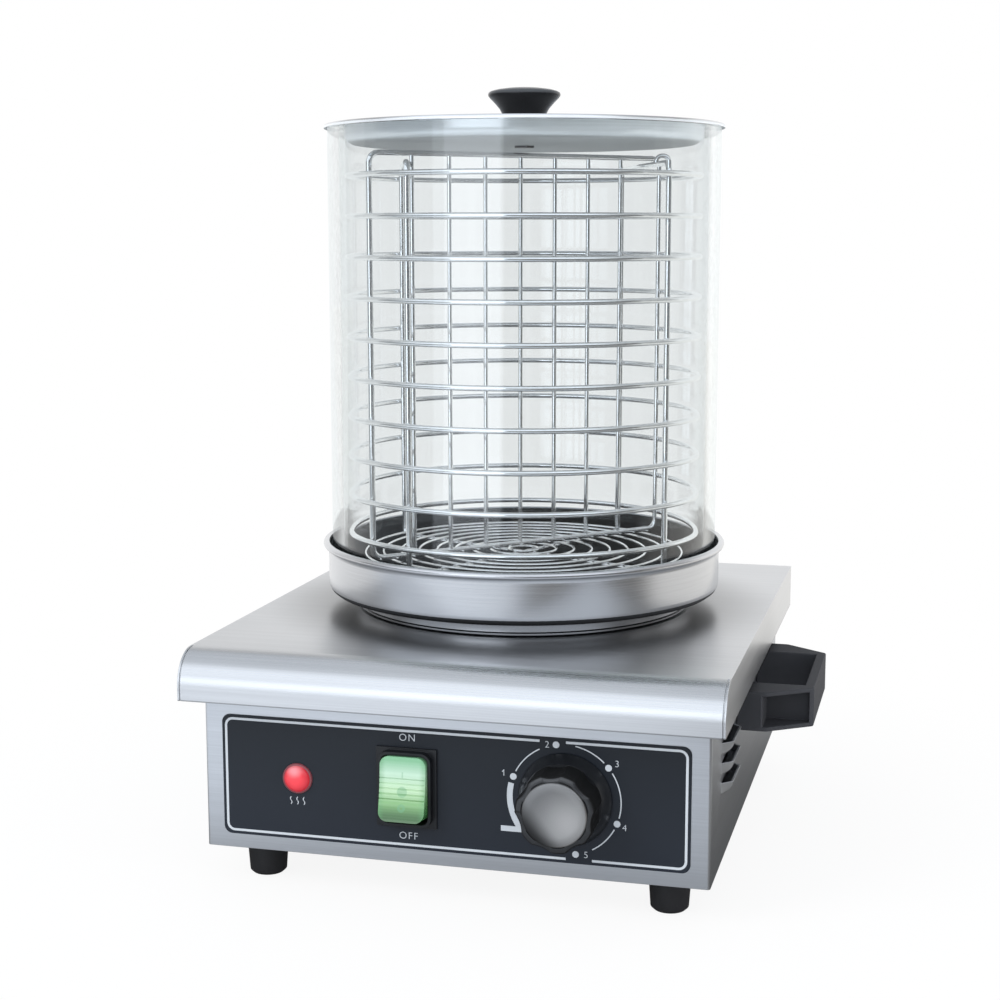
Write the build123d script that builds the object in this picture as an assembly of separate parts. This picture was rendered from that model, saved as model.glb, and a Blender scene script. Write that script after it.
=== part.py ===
from build123d import *

import math
import os

# Table-top sausage steamer: a folded steel base with controls, a stepped water
# tray on top of it, a glass tube standing in the tray, a wire basket inside the
# tube and a sunk lid with a knob.
#
# Frame: millimetres, +X to the right as seen from the front, +Y to the back,
# +Z up.  The origin lies on the table under the centre of the top cover, and
# the controls face -Y.

# ---------------------------------------------------------------- clearances
SEAT_GAP = 0.3  # between two bodies that stand on each other
HOLE_CLEARANCE = 0.2  # radial, around a fixed stem or screw shank
RUNNING_CLEARANCE = 0.05  # radial, around a turning shaft or trunnion
ROCKER_CLEARANCE = 0.3  # between the rocker and its frame

# ----------------------------------------- flats that stand for a round outline
HEX_SIDE_COUNT = 6
WIRE_SIDE_COUNT = 6
SHANK_SIDE_COUNT = 8
STEM_SIDE_COUNT = 16
FOOT_SIDE_COUNT = 20
TURNED_SIDE_COUNT = 40
SHEET_SIDE_COUNT = 48

# ------------------------------------------------------------ sheet-metal base
SHEET = 1.0
COVER_OVERHANG = 7.5
COVER_DEPTH = 287.0
COVER_TOP = 115.6
COVER_SKIRT = 23.0
COVER_NOSE_RADIUS = 16.0
COVER_LAND = 8.7
SEAM_WIDTH = 0.5
SEAM_DEPTH = 0.6

BODY_WIDTH = 241.0
BODY_FRONT_SETBACK = 13.7
BODY_BACK_SETBACK = 6.5
BODY_BOTTOM = 18.9
BODY_CORNER_RADIUS = 1.5
LIP_WIDTH = 10.0

LOUVRE_COUNT = 3
LOUVRE_LENGTH = 36.0
LOUVRE_RADIUS = 5.0
LOUVRE_PITCH = 9.5
LOUVRE_FIRST_Z = 58.4
LOUVRE_FRONT_SETBACK = 32.0

VENT_COUNT = 7
VENT_LENGTH = 46.0
VENT_WIDTH = 5.0
VENT_PITCH = 12.0
VENT_OFFSET_X = 44.0

SCREW_RADIUS = 2.0
SCREW_HEAD_RADIUS = 4.0
SCREW_HEAD_HEIGHT = 2.4
SCREW_TIP = 3.0
REAR_SCREW_INSET_X = 5.0
REAR_SCREW_INSET_Z = 16.0

# ------------------------------------------------------------------------ feet
FOOT_INSET_X = 21.6
FOOT_Y = 107.1
FOOT_TOP_RADIUS = 10.1
FOOT_BOTTOM_RADIUS = 8.9
FOOT_EDGE_RADIUS = 2.6
FOOT_STUD_LENGTH = 8.0

# ---------------------------------------------------------------- side handles
HANDLE_CENTRE_Y = 7.9
HANDLE_TOP = 88.5
HANDLE_HEIGHT = 19.5
HANDLE_ROOT_LENGTH = 105.5
HANDLE_GRIP_LENGTH = 74.5
HANDLE_OPENING_LENGTH = 66.0
HANDLE_ROOT_DEPTH = 14.5
HANDLE_REACH = 35.8
HANDLE_GRIP_THICKNESS = 4.7
HANDLE_POCKET_WALL = 2.2
HANDLE_EDGE_RADIUS = 1.2
HANDLE_SCREW_DEPTH = 9.0

# --------------------------------------------------------------- control panel
LABEL_WIDTH = 223.2
LABEL_BOTTOM = 25.8
LABEL_TOP = 84.2
LABEL_THICKNESS = 0.4
LABEL_CORNER_RADIUS = 4.0
CONTROL_Z = 55.5

PILOT_X = -74.0
PILOT_LENS_RADIUS = 7.3
PILOT_LENS_TOP_RADIUS = 4.4
PILOT_RIM_HEIGHT = 1.4
PILOT_DOME_HEIGHT = 2.1
PILOT_BARREL_RADIUS = 5.8
PILOT_BARREL_LENGTH = 26.0

SWITCH_X = -20.3
SWITCH_PLATE_WIDTH = 29.0
SWITCH_PLATE_HEIGHT = 37.8
SWITCH_PLATE_THICKNESS = 1.2
SWITCH_COLLAR_HEIGHT = 3.8
SWITCH_WALL = 1.5
SWITCH_COLLAR_RADIUS = 4.8
SWITCH_BARREL_DEPTH = 20.0
SWITCH_FLOOR = 10.0
ROCKER_WIDTH = 21.9
ROCKER_HEIGHT = 30.0
ROCKER_FACE_HEIGHT = 9.6
ROCKER_DISH = 1.3
ROCKER_TILT = 8.5
ROCKER_CORNER_RADIUS = 4.4
ROCKER_BACK = 3.0
RIB_COUNT = 5
RIB_PITCH = 2.4
RIB_WIDTH = 0.6
TRUNNION_RADIUS = 1.2
TRUNNION_LENGTH = 1.0
TERMINAL_LENGTH = 8.0
TERMINAL_WIDTH = 6.3
TERMINAL_THICKNESS = 0.8

KNOB_X = 54.3
KNOB_SKIRT_RADIUS = 21.8
KNOB_SKIRT_HEIGHT = 5.6
KNOB_SKIRT_EDGE = 0.8
KNOB_SKIRT_GAP = 0.5
KNOB_GRIP_RADIUS = 18.3
KNOB_GRIP_HEIGHT = 21.6
KNOB_FLUTE_COUNT = 7
KNOB_FLUTE_RADIUS = 15.4
KNOB_FLUTE_DEPTH = 1.4
KNOB_FLUTE_TURN = -7.0
KNOB_CAP_RADIUS = 14.8
KNOB_CAP_HEIGHT = 1.4
KNOB_POINTER_ANGLE = 180.0
KNOB_POINTER_WIDTH = 1.0
KNOB_POINTER_DEPTH = 0.8
SHAFT_RADIUS = 3.0
SHAFT_FLAT = 2.2
SHAFT_LENGTH = 13.0
SHAFT_BACK = 8.0
THERMOSTAT_SIZE = 34.0
THERMOSTAT_DEPTH = 26.0
NECK_RADIUS = 5.0

# ------------------------------------------------------------------ water tray
TUBE_AXIS_Y = 11.7
TRAY_SHEET = 0.9
TRAY_LEDGE_REACH = 13.3
TRAY_GLASS_GAP = 1.2
TRAY_STEP_HEIGHT = 8.1
TRAY_FLARE = 2.7
TRAY_RIM_HEIGHT = 34.7
TRAY_BEAD = 1.75
TRAY_WALL_BEND = 3.4

# -------------------------------------------------------------------- glass, lid
GLASS_OUTER_RADIUS = 100.0
GLASS_WALL = 5.9
GLASS_HEIGHT = 235.8
LID_SHEET = 0.8
LID_OVERHANG = 1.6
LID_LIP_HEIGHT = 1.8
LID_PAN_GAP = 3.1
LID_PAN_DEPTH = 8.8
LID_PAN_BEND = 6.0

LID_KNOB_HEIGHT = 27.0
LID_KNOB_RADIUS = 18.4
LID_KNOB_NECK_RADIUS = 10.4
LID_KNOB_FOOT_RADIUS = 12.5
LID_KNOB_FOOT_HEIGHT = 4.0
LID_KNOB_NECK_HEIGHT = 12.0
LID_KNOB_EDGE_DROP = 5.2
LID_KNOB_EDGE_HEIGHT = 1.6
LID_KNOB_CROWN_RADIUS = 10.0
LID_SCREW_RADIUS = 2.5
LID_SCREW_HEAD_RADIUS = 5.0
LID_SCREW_HEAD_HEIGHT = 2.4
LID_SCREW_REACH = 14.0

# ---------------------------------------------------------------------- basket
WIRE_RADIUS = 1.4
HOOP_SIDE_COUNT = 24
RING_GLASS_GAP = 2.7
RING_COUNT = 10
RING_FIRST_Z = 155.8
RING_LID_GAP = 16.66
POST_AZIMUTH = -25.0
FRAME_BEND = 4.0
FRAME_BAR_Z = 141.5
BAIL_LID_GAP = 11.5
WELD_SINK = 0.1
LEG_RADIAL_POSITION = 60.0
HOOK_RADIUS = 2.9
HOOK_WIRE_RADIUS = 1.1
GRATE_WIRE_RADIUS = 0.8
GRATE_RING_COUNT = 9
GRATE_INSET = 4.1
GRATE_EYE_RADIUS = 7.8
GRATE_SIDE_COUNT = 24
DIVIDER_ANGLE = 46.0
DIVIDER_BOTTOM = 147.0
DIVIDER_LID_GAP = 6.2
DIVIDER_BEND = 5.0
DIVIDER_BAR_COUNT = 7
DIVIDER_END_GAP = 24.4
DIVIDER_BAR_RADIUS = 1.2
DIVIDER_SHIFT = -2.1

# ---------------------------------------------------------------------- heater
HEATER_PLATE_GAP = 4.0
HEATER_PLATE_THICKNESS = 8.0
HEATER_STUD_RADIUS = 4.0
HEATER_STUD_EXTRA = 9.0
ELEMENT_RADIUS = 52.0
ELEMENT_TUBE_RADIUS = 3.2
ELEMENT_GAP = 28.0
ELEMENT_SIDE_COUNT = 24
ELEMENT_TERMINAL_LENGTH = 16.0
BRACKET_LENGTH = 124.0
BRACKET_WIDTH = 18.0
BRACKET_THICKNESS = 2.5
HEATER_NUT_RADIUS = 7.5
HEATER_NUT_HEIGHT = 6.0

# ---------------------------------------------------------- supply connections
GLAND_INSET_X = 36.5
GLAND_Z = 44.0
GLAND_BORE_RADIUS = 4.0
GLAND_THREAD_RADIUS = 7.5
GLAND_THREAD_LENGTH = 9.0
GLAND_HEX_RADIUS = 11.0
GLAND_HEX_HEIGHT = 6.0
GLAND_DOME_RADIUS = 9.2
GLAND_NOSE_RADIUS = 6.0
GLAND_NOSE_LENGTH = 3.5
GLAND_LENGTH = 15.2
GLAND_NUT_HEIGHT = 4.5
BLOCK_LENGTH = 48.0
BLOCK_DEPTH = 20.0
BLOCK_HEIGHT = 17.0
BLOCK_INSET_X = 58.5
BLOCK_SETBACK = 39.0
BLOCK_WAYS = 3
BLOCK_ENTRY = 5.0
BLOCK_ENTRY_DEPTH = 7.0
EARTH_BLOCK_GAP = 44.0
EARTH_SETBACK = 33.0
EARTH_STUD_LENGTH = 16.0

# --------------------------------------------------------------- derived sizes
BODY_FRONT = -COVER_DEPTH / 2 + BODY_FRONT_SETBACK
BODY_BACK = COVER_DEPTH / 2 - BODY_BACK_SETBACK
BODY_SIDE = BODY_WIDTH / 2
COVER_WIDTH = BODY_WIDTH + 2 * COVER_OVERHANG
FOOT_X = BODY_SIDE - FOOT_INSET_X
GLAND_X = GLAND_INSET_X - BODY_SIDE
NOSE_INSIDE = COVER_NOSE_RADIUS - SHEET
NOSE_OVERLAP = max(COVER_NOSE_RADIUS - BODY_FRONT_SETBACK, 0)
NOSE_DROP = NOSE_INSIDE - math.sqrt(NOSE_INSIDE**2 - NOSE_OVERLAP**2)
BODY_TOP = COVER_TOP - SHEET - NOSE_DROP
PANEL_INSIDE = BODY_FRONT + SHEET
LABEL_FRONT = BODY_FRONT - LABEL_THICKNESS
PLATE_TOP = BODY_BOTTOM + SHEET
HANDLE_BOTTOM = HANDLE_TOP - HANDLE_HEIGHT
TRAY_LEDGE = COVER_TOP + TRAY_STEP_HEIGHT + TRAY_SHEET
BASIN_FLOOR = COVER_TOP + TRAY_SHEET
GLASS_BOTTOM = TRAY_LEDGE + SEAT_GAP
GLASS_TOP = GLASS_BOTTOM + GLASS_HEIGHT
FLANGE_UNDER = GLASS_TOP + SEAT_GAP
LID_TOP = FLANGE_UNDER + LID_SHEET
PAN_BOTTOM = LID_TOP - LID_PAN_DEPTH
PAN_FLOOR = PAN_BOTTOM + LID_SHEET
RING_PITCH = (PAN_BOTTOM - RING_LID_GAP - RING_FIRST_Z) / (RING_COUNT - 1)
BAIL_Z = PAN_BOTTOM - BAIL_LID_GAP
DIVIDER_TOP = PAN_BOTTOM - DIVIDER_LID_GAP
GLASS_INNER_RADIUS = GLASS_OUTER_RADIUS - GLASS_WALL
TRAY_WALL_RADIUS = GLASS_OUTER_RADIUS + TRAY_GLASS_GAP + TRAY_SHEET
TRAY_RIM_RADIUS = TRAY_WALL_RADIUS + TRAY_FLARE
TRAY_FOOT_RADIUS = GLASS_OUTER_RADIUS - TRAY_LEDGE_REACH
COVER_OPENING_RADIUS = TRAY_FOOT_RADIUS - COVER_LAND
HEATER_PLATE_RADIUS = COVER_OPENING_RADIUS - HEATER_PLATE_GAP
LID_FLANGE_RADIUS = GLASS_OUTER_RADIUS + LID_OVERHANG
LID_PAN_RADIUS = GLASS_INNER_RADIUS - LID_PAN_GAP
RING_RADIUS = GLASS_INNER_RADIUS - RING_GLASS_GAP - WIRE_RADIUS
POST_RADIUS = RING_RADIUS - 2 * WIRE_RADIUS - WELD_SINK
GRATE_Z = FRAME_BAR_Z + WIRE_RADIUS - WELD_SINK + GRATE_WIRE_RADIUS
GRATE_RADIUS = POST_RADIUS - GRATE_INSET
GRATE_PITCH = (GRATE_RADIUS - GRATE_EYE_RADIUS) / (GRATE_RING_COUNT - 1)
DIVIDER_BAR_PITCH = 2 * (POST_RADIUS - DIVIDER_END_GAP) / (DIVIDER_BAR_COUNT - 1)
BLOCK_X = BLOCK_INSET_X - BODY_SIDE
BLOCK_Y = BODY_BACK - BLOCK_SETBACK
EARTH_X = BLOCK_X + EARTH_BLOCK_GAP
EARTH_Y = BODY_BACK - EARTH_SETBACK
HEATER_UNDER = COVER_TOP - HEATER_PLATE_THICKNESS
ELEMENT_Z = HEATER_UNDER - ELEMENT_TUBE_RADIUS
BRACKET_TOP = ELEMENT_Z - ELEMENT_TUBE_RADIUS
BRACKET_UNDER = BRACKET_TOP - BRACKET_THICKNESS
ROCKER_SWING = math.radians(ROCKER_TILT)
COLLAR_FRONT = SWITCH_PLATE_THICKNESS + SWITCH_COLLAR_HEIGHT
ROCKER_REACH = ROCKER_HEIGHT / 2 * math.cos(ROCKER_SWING) + COLLAR_FRONT * math.sin(ROCKER_SWING)
SWITCH_OPENING_X = ROCKER_WIDTH / 2 + ROCKER_CLEARANCE
SWITCH_OPENING_Z = ROCKER_REACH + 2 * ROCKER_CLEARANCE
BEND_FACET = 2 - math.sqrt(2)  # share of a bend's radius that its flat facet cuts off

TUBE_AXIS = Pos(0, TUBE_AXIS_Y, 0)


# --------------------------------------------------------------------- helpers
def box(x0, x1, y0, y1, z0, z1):
    """Box between two corners."""
    centre = Pos((x0 + x1) / 2, (y0 + y1) / 2, (z0 + z1) / 2)
    return centre * Box(x1 - x0, y1 - y0, z1 - z0)


def disc(radius, z0, z1):
    """Upright cylinder on the Z axis from z0 to z1."""
    return Pos(0, 0, (z0 + z1) / 2) * Cylinder(radius, z1 - z0)


def facing_front(x, y, z):
    """Location whose +Z points to the front (-Y), with its +X kept as +X."""
    return Pos(x, y, z) * Rot(90, 0, 0)


def facing_back(x, y, z):
    """Location whose +Z points to the back (+Y)."""
    return Pos(x, y, z) * Rot(-90, 0, 0)


def both_sides(shape):
    """A shape and its mirror image across the plane x = 0."""
    return [shape, mirror(shape, about=Plane.YZ)]


def around(azimuth, radius, z):
    """Point at an azimuth measured from the front (-Y) towards the right."""
    turn = math.radians(azimuth)
    return Vector(radius * math.sin(turn), -radius * math.cos(turn), z)


def prism(radius, z0, z1, flats):
    """Upright regular prism on the Z axis from z0 to z1."""
    return Pos(0, 0, z0) * extrude(RegularPolygon(radius, flats), z1 - z0)


def turned(points, flats):
    """Turned body about Z with flat sides, from a closed (radius, height) outline."""
    turns = [360 * index / flats for index in range(flats)]
    rings = [[Vector(radius, 0, z).rotate(Axis.Z, turn) for turn in turns] for radius, z in points]
    faces = []
    for index, ring in enumerate(rings):
        before = rings[index - 1]
        for side in range(flats):
            corners = [before[side - 1], before[side]]
            if points[index][0] > 0:
                corners += [ring[side], ring[side - 1]]
            else:
                corners += [ring[side]]
            if points[index - 1][0] == 0:
                corners = corners[1:]
            if len(corners) > 2:
                faces.append(make_face(Polyline(*corners, close=True)).face())
    return Solid(Shell(faces)).clean()


def tapered(low_radius, z0, high_radius, z1, flats):
    """Upright regular frustum on the Z axis from z0 to z1."""
    return turned([(0, z0), (low_radius, z0), (high_radius, z1), (0, z1)], flats)


def facet_corners(points, bends, closed):
    """Corner points of a path or outline, each bend cut off by one flat facet."""
    corners = [Vector(*point) for point in points]
    path = []
    for index, bend in enumerate(bends):
        corner = corners[index]
        at_end = not closed and index in (0, len(corners) - 1)
        if bend == 0 or at_end:
            path.append(corner)
            continue
        before = corners[index - 1] - corner
        after = corners[(index + 1) % len(corners)] - corner
        cut = bend * BEND_FACET
        path.append(corner + before.normalized() * cut)
        path.append(corner + after.normalized() * cut)
    return path


def folded(points, bends):
    """Flat face with a closed outline of bent corners."""
    return make_face(Polyline(*facet_corners(points, bends, True), close=True))


def spun(points, bends):
    """Wide turned sheet about Z, from a closed (radius, height) outline with bends."""
    outline = facet_corners(points, bends, True)
    return turned([(corner.X, corner.Y) for corner in outline], SHEET_SIDE_COUNT)


def bent_wire(points, bend, radius, closed=False):
    """Wire of one thickness through corner points, bent at each of them."""
    path = Polyline(*facet_corners(points, [bend] * len(points), closed), close=closed)
    section = Plane(origin=path @ 0, z_dir=path % 0) * RegularPolygon(radius, WIRE_SIDE_COUNT)
    return sweep(section, path=path, transition=Transition.RIGHT)


def hoop(radius, z, wire_radius, segments):
    """Flat-sided wire hoop about Z, in short straight segments."""
    outside = RegularPolygon(radius + wire_radius, segments)
    inside = RegularPolygon(radius - wire_radius, segments)
    return Pos(0, 0, z - wire_radius) * extrude(outside - inside, 2 * wire_radius)


def hex_screw(length, head_radius=SCREW_HEAD_RADIUS, head=SCREW_HEAD_HEIGHT, shank=SCREW_RADIUS):
    """Hexagon-head screw: the head's seat is z = 0 and the shank points down."""
    return prism(shank, -length, 0, SHANK_SIDE_COUNT) + prism(head_radius, 0, head, HEX_SIDE_COUNT)


def hex_nut(across_corners, height, bore, flats):
    """Hexagon nut standing on z = 0."""
    return prism(across_corners, 0, height, HEX_SIDE_COUNT) - prism(bore, -1, height + 1, flats)


def screw_hole():
    """Clearance hole for a screw shank, through a sheet at z = 0."""
    return prism(SCREW_RADIUS + HOLE_CLEARANCE, -2 * SHEET, 2 * SHEET, SHANK_SIDE_COUNT)


# ------------------------------------------------------------- sheet-metal base
def cover_block(wall, end_wall):
    """Solid block of the top cover, set in by a wall and by a wall at its ends."""
    half_depth = COVER_DEPTH / 2 - wall
    bottom, top = COVER_TOP - COVER_SKIRT, COVER_TOP - wall
    nose = COVER_NOSE_RADIUS - wall
    outline = Polyline(
        (-half_depth, top - nose), (-half_depth, bottom), (half_depth, bottom), (half_depth, top)
    )
    outline += Line((half_depth, top), (nose - half_depth, top))
    outline += RadiusArc((nose - half_depth, top), (-half_depth, top - nose), -nose)
    profile = Plane.YZ * make_face(outline)
    return extrude(profile, COVER_WIDTH / 2 - end_wall, both=True)


def top_cover():
    """Folded cover: a bull-nosed front, skirts all round and the heater opening."""
    shell = cover_block(0, 0) - cover_block(SHEET, SHEET)
    skin = cover_block(0, 0) - cover_block(SEAM_DEPTH, 0)
    seam_inner = COVER_WIDTH / 2 - SHEET - SEAM_WIDTH
    nose_back = -COVER_DEPTH / 2 + COVER_NOSE_RADIUS
    reach = box(seam_inner, seam_inner + SEAM_WIDTH, -COVER_DEPTH, nose_back, 0, COVER_TOP + 1)
    for seam in both_sides(skin & reach):
        shell -= seam
    return shell - TUBE_AXIS * disc(COVER_OPENING_RADIUS, BODY_TOP - 1, COVER_TOP + 1)


def louvre_scoop(radius, length):
    """Outer lower quarter of a barrel with its ends cut back at 45 degrees."""
    barrel = Rot(90, 0, 0) * Cylinder(radius, length)
    half = length / 2
    plan = Polyline((0, -half), (radius, radius - half), (radius, half - radius), (0, half), close=True)
    return barrel & Pos(0, 0, -radius) * extrude(make_face(plan), radius)


def louvre_places():
    """Locations of the louvres on the right panel's outer face."""
    middle = BODY_FRONT + LOUVRE_FRONT_SETBACK + LOUVRE_LENGTH / 2
    return [Pos(BODY_SIDE, middle, LOUVRE_FIRST_Z + i * LOUVRE_PITCH) for i in range(LOUVRE_COUNT)]


def louvre_hood():
    """Pressed scoop, open at its top."""
    inner = louvre_scoop(LOUVRE_RADIUS - SHEET, LOUVRE_LENGTH - 2 * SHEET)
    return louvre_scoop(LOUVRE_RADIUS, LOUVRE_LENGTH) - inner


def louvre_slot():
    """Opening in the side panel behind one scoop."""
    half = LOUVRE_LENGTH / 2 - SHEET
    return box(-2 * SHEET, 0, -half, half, SHEET - LOUVRE_RADIUS, 0)


def rear_screw_places():
    """X and Z of the rear panel's screws."""
    x = BODY_SIDE - SHEET - REAR_SCREW_INSET_X
    low = BODY_BOTTOM + REAR_SCREW_INSET_Z
    high = BODY_TOP - REAR_SCREW_INSET_Z
    return [(side * x, z) for side in (-1, 1) for z in (low, high)]


def base_housing():
    """Front panel, both side panels and the lips that carry the other sheets."""
    outer = box(-BODY_SIDE, BODY_SIDE, BODY_FRONT, BODY_BACK, BODY_BOTTOM, BODY_TOP)
    front_edges = outer.edges().filter_by(Axis.Z).group_by(Axis.Y)[0]
    outer = fillet(front_edges, BODY_CORNER_RADIUS)
    side = BODY_SIDE - SHEET
    housing = outer - box(-side, side, PANEL_INSIDE, BODY_BACK + 1, 0, COVER_TOP)
    for inner, reach in ((side, side - LIP_WIDTH), (-side, LIP_WIDTH - side)):
        low, high = min(inner, reach), max(inner, reach)
        for z in (PLATE_TOP, BODY_TOP - SHEET):
            housing += box(low, high, PANEL_INSIDE, BODY_BACK, z, z + SHEET)
        housing += box(low, high, BODY_BACK - SHEET, BODY_BACK, PLATE_TOP, BODY_TOP)
    for z in (PLATE_TOP, BODY_TOP - SHEET):
        housing += box(-side, side, PANEL_INSIDE, PANEL_INSIDE + LIP_WIDTH, z, z + SHEET)
    for place in louvre_places():
        for hood, slot in zip(both_sides(place * louvre_hood()), both_sides(place * louvre_slot())):
            housing = housing - slot + hood
    for x, z in rear_screw_places():
        housing -= facing_back(x, BODY_BACK, z) * screw_hole()
    for holes in both_sides(handle_screw_holes()):
        housing -= holes
    return housing - front_cut_outs()


def front_cut_outs():
    """Openings for the lamp, the switch and the shaft, through panel and label."""
    depth = 6 * SHEET
    lamp = prism(PILOT_BARREL_RADIUS + HOLE_CLEARANCE, -depth, depth, STEM_SIDE_COUNT)
    neck = prism(NECK_RADIUS + HOLE_CLEARANCE, -depth, depth, STEM_SIDE_COUNT)
    width = 2 * (SWITCH_OPENING_X + SWITCH_WALL + HOLE_CLEARANCE)
    height = 2 * (SWITCH_OPENING_Z + SWITCH_WALL + HOLE_CLEARANCE)
    cuts = facing_front(PILOT_X, BODY_FRONT, CONTROL_Z) * lamp
    cuts += facing_front(KNOB_X, BODY_FRONT, CONTROL_Z) * neck
    cuts += facing_front(SWITCH_X, BODY_FRONT, CONTROL_Z) * Box(width, height, depth)
    return cuts


def rear_panel():
    """Flat rear sheet over the housing's returns, with the gland's hole."""
    side = BODY_SIDE - SEAT_GAP
    panel = box(-side, side, BODY_BACK, BODY_BACK + SHEET, PLATE_TOP, BODY_TOP - SHEET)
    gland = prism(GLAND_THREAD_RADIUS + HOLE_CLEARANCE, -SHEET, 2 * SHEET, STEM_SIDE_COUNT)
    panel -= facing_back(GLAND_X, BODY_BACK, GLAND_Z) * gland
    for x, z in rear_screw_places():
        panel -= facing_back(x, BODY_BACK, z) * screw_hole()
    return panel


def rear_screws():
    """Screws that hold the rear panel."""
    screw = hex_screw(2 * SHEET + SCREW_TIP)
    return [facing_back(x, BODY_BACK + SHEET, z) * screw for x, z in rear_screw_places()]


def foot_places():
    """X and Y of the four feet."""
    return [(x, y) for x in (-FOOT_X, FOOT_X) for y in (-FOOT_Y, FOOT_Y)]


def bottom_plate():
    """Closing sheet under the base, with two rows of air slots."""
    side = BODY_SIDE - SHEET
    plate = box(-side, side, PANEL_INSIDE, BODY_BACK, BODY_BOTTOM, PLATE_TOP)
    first = -(VENT_COUNT - 1) / 2 * VENT_PITCH
    for index in range(VENT_COUNT):
        y = first + index * VENT_PITCH
        for x in (-VENT_OFFSET_X, VENT_OFFSET_X):
            plate -= Pos(x, y, BODY_BOTTOM) * Box(VENT_LENGTH, VENT_WIDTH, 4 * SHEET)
    for x, y in foot_places():
        plate -= Pos(x, y, BODY_BOTTOM) * screw_hole()
    return plate


def feet():
    """Four tapered rubber feet with a moulded-in stud."""
    edge = FOOT_EDGE_RADIUS * BEND_FACET
    foot = tapered(FOOT_BOTTOM_RADIUS - edge, 0, FOOT_BOTTOM_RADIUS, edge, FOOT_SIDE_COUNT)
    foot += tapered(FOOT_BOTTOM_RADIUS, edge, FOOT_TOP_RADIUS, BODY_BOTTOM, FOOT_SIDE_COUNT)
    foot += prism(SCREW_RADIUS, BODY_BOTTOM, BODY_BOTTOM + FOOT_STUD_LENGTH, SHANK_SIDE_COUNT)
    return [Pos(x, y, 0) * foot for x, y in foot_places()]


# ----------------------------------------------------------------- side handles
def handle_outline():
    """Plan outline of the handle: wide at the root, narrow at the grip."""
    root, grip = HANDLE_ROOT_LENGTH / 2, HANDLE_GRIP_LENGTH / 2
    points = [(0, -root), (HANDLE_ROOT_DEPTH, -root), (HANDLE_REACH, -grip)]
    points += [(HANDLE_REACH, grip), (HANDLE_ROOT_DEPTH, root), (0, root)]
    edge = HANDLE_EDGE_RADIUS
    return folded(points, [0, edge, edge, edge, edge, 0])


def handle_pocket():
    """Moulded recess in the sloping end of one arm, open to the front."""
    inner = -HANDLE_OPENING_LENGTH / 2 - HANDLE_POCKET_WALL
    start = HANDLE_ROOT_DEPTH - HANDLE_POCKET_WALL
    end = HANDLE_REACH - HANDLE_POCKET_WALL
    low, high = HANDLE_POCKET_WALL, HANDLE_HEIGHT - HANDLE_POCKET_WALL
    return box(start, end, -HANDLE_ROOT_LENGTH, inner, low, high)


def handle_screw_places():
    """Locations of the two screws in the solid root of the right handle."""
    arm = (HANDLE_ROOT_LENGTH + HANDLE_OPENING_LENGTH) / 4
    z = HANDLE_BOTTOM + HANDLE_HEIGHT / 2
    return [Pos(BODY_SIDE, HANDLE_CENTRE_Y + y, z) for y in (-arm, arm)]


def right_handle():
    """Moulded carrying handle on the right side panel."""
    handle = extrude(handle_outline(), HANDLE_HEIGHT)
    half_gap = HANDLE_OPENING_LENGTH / 2
    grip_inner = HANDLE_REACH - HANDLE_GRIP_THICKNESS
    handle -= box(-1, grip_inner, -half_gap, half_gap, -1, HANDLE_HEIGHT + 1)
    pocket = handle_pocket()
    handle = handle - pocket - mirror(pocket, about=Plane.XZ)
    handle = Pos(BODY_SIDE, HANDLE_CENTRE_Y, HANDLE_BOTTOM) * handle
    for place in handle_screw_places():
        handle -= place * Rot(0, 90, 0) * prism(SCREW_RADIUS, -1, HANDLE_SCREW_DEPTH, SHANK_SIDE_COUNT)
    return handle


def right_handle_screws():
    """Screws from inside the base into the right handle."""
    screw = Rot(0, -90, 0) * hex_screw(SHEET + HANDLE_SCREW_DEPTH - 1)
    return [place * Pos(-SHEET, 0, 0) * screw for place in handle_screw_places()]


def handle_screw_holes():
    """Clearance holes for the handle screws in the right side panel."""
    first, second = [place * Rot(0, 90, 0) * screw_hole() for place in handle_screw_places()]
    return first + second


# ---------------------------------------------------------------- control panel
def control_label():
    """Thin printed plate on the front panel."""
    sheet = RectangleRounded(LABEL_WIDTH, LABEL_TOP - LABEL_BOTTOM, LABEL_CORNER_RADIUS)
    middle = (LABEL_TOP + LABEL_BOTTOM) / 2
    plate = facing_front(0, BODY_FRONT, middle) * extrude(sheet, LABEL_THICKNESS)
    return plate - front_cut_outs()


def pilot_lens():
    """Lens of the pilot lamp: a rim under a low crown."""
    rim, crown = PILOT_RIM_HEIGHT, PILOT_RIM_HEIGHT + PILOT_DOME_HEIGHT
    lens = prism(PILOT_LENS_RADIUS, 0, rim, TURNED_SIDE_COUNT)
    lens += tapered(PILOT_LENS_RADIUS, rim, PILOT_LENS_TOP_RADIUS, crown, TURNED_SIDE_COUNT)
    return facing_front(PILOT_X, LABEL_FRONT, CONTROL_Z) * lens


def pilot_body():
    """Barrel of the lamp, with two tabs at its back."""
    length = PILOT_BARREL_LENGTH
    barrel = prism(PILOT_BARREL_RADIUS, -length, 0, STEM_SIDE_COUNT)
    half, width = TERMINAL_THICKNESS / 2, TERMINAL_WIDTH / 2
    for x in (-PILOT_BARREL_RADIUS / 2, PILOT_BARREL_RADIUS / 2):
        barrel += box(x - half, x + half, -width, width, -length - TERMINAL_LENGTH, -length)
    return facing_front(PILOT_X, LABEL_FRONT, CONTROL_Z) * barrel


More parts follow.
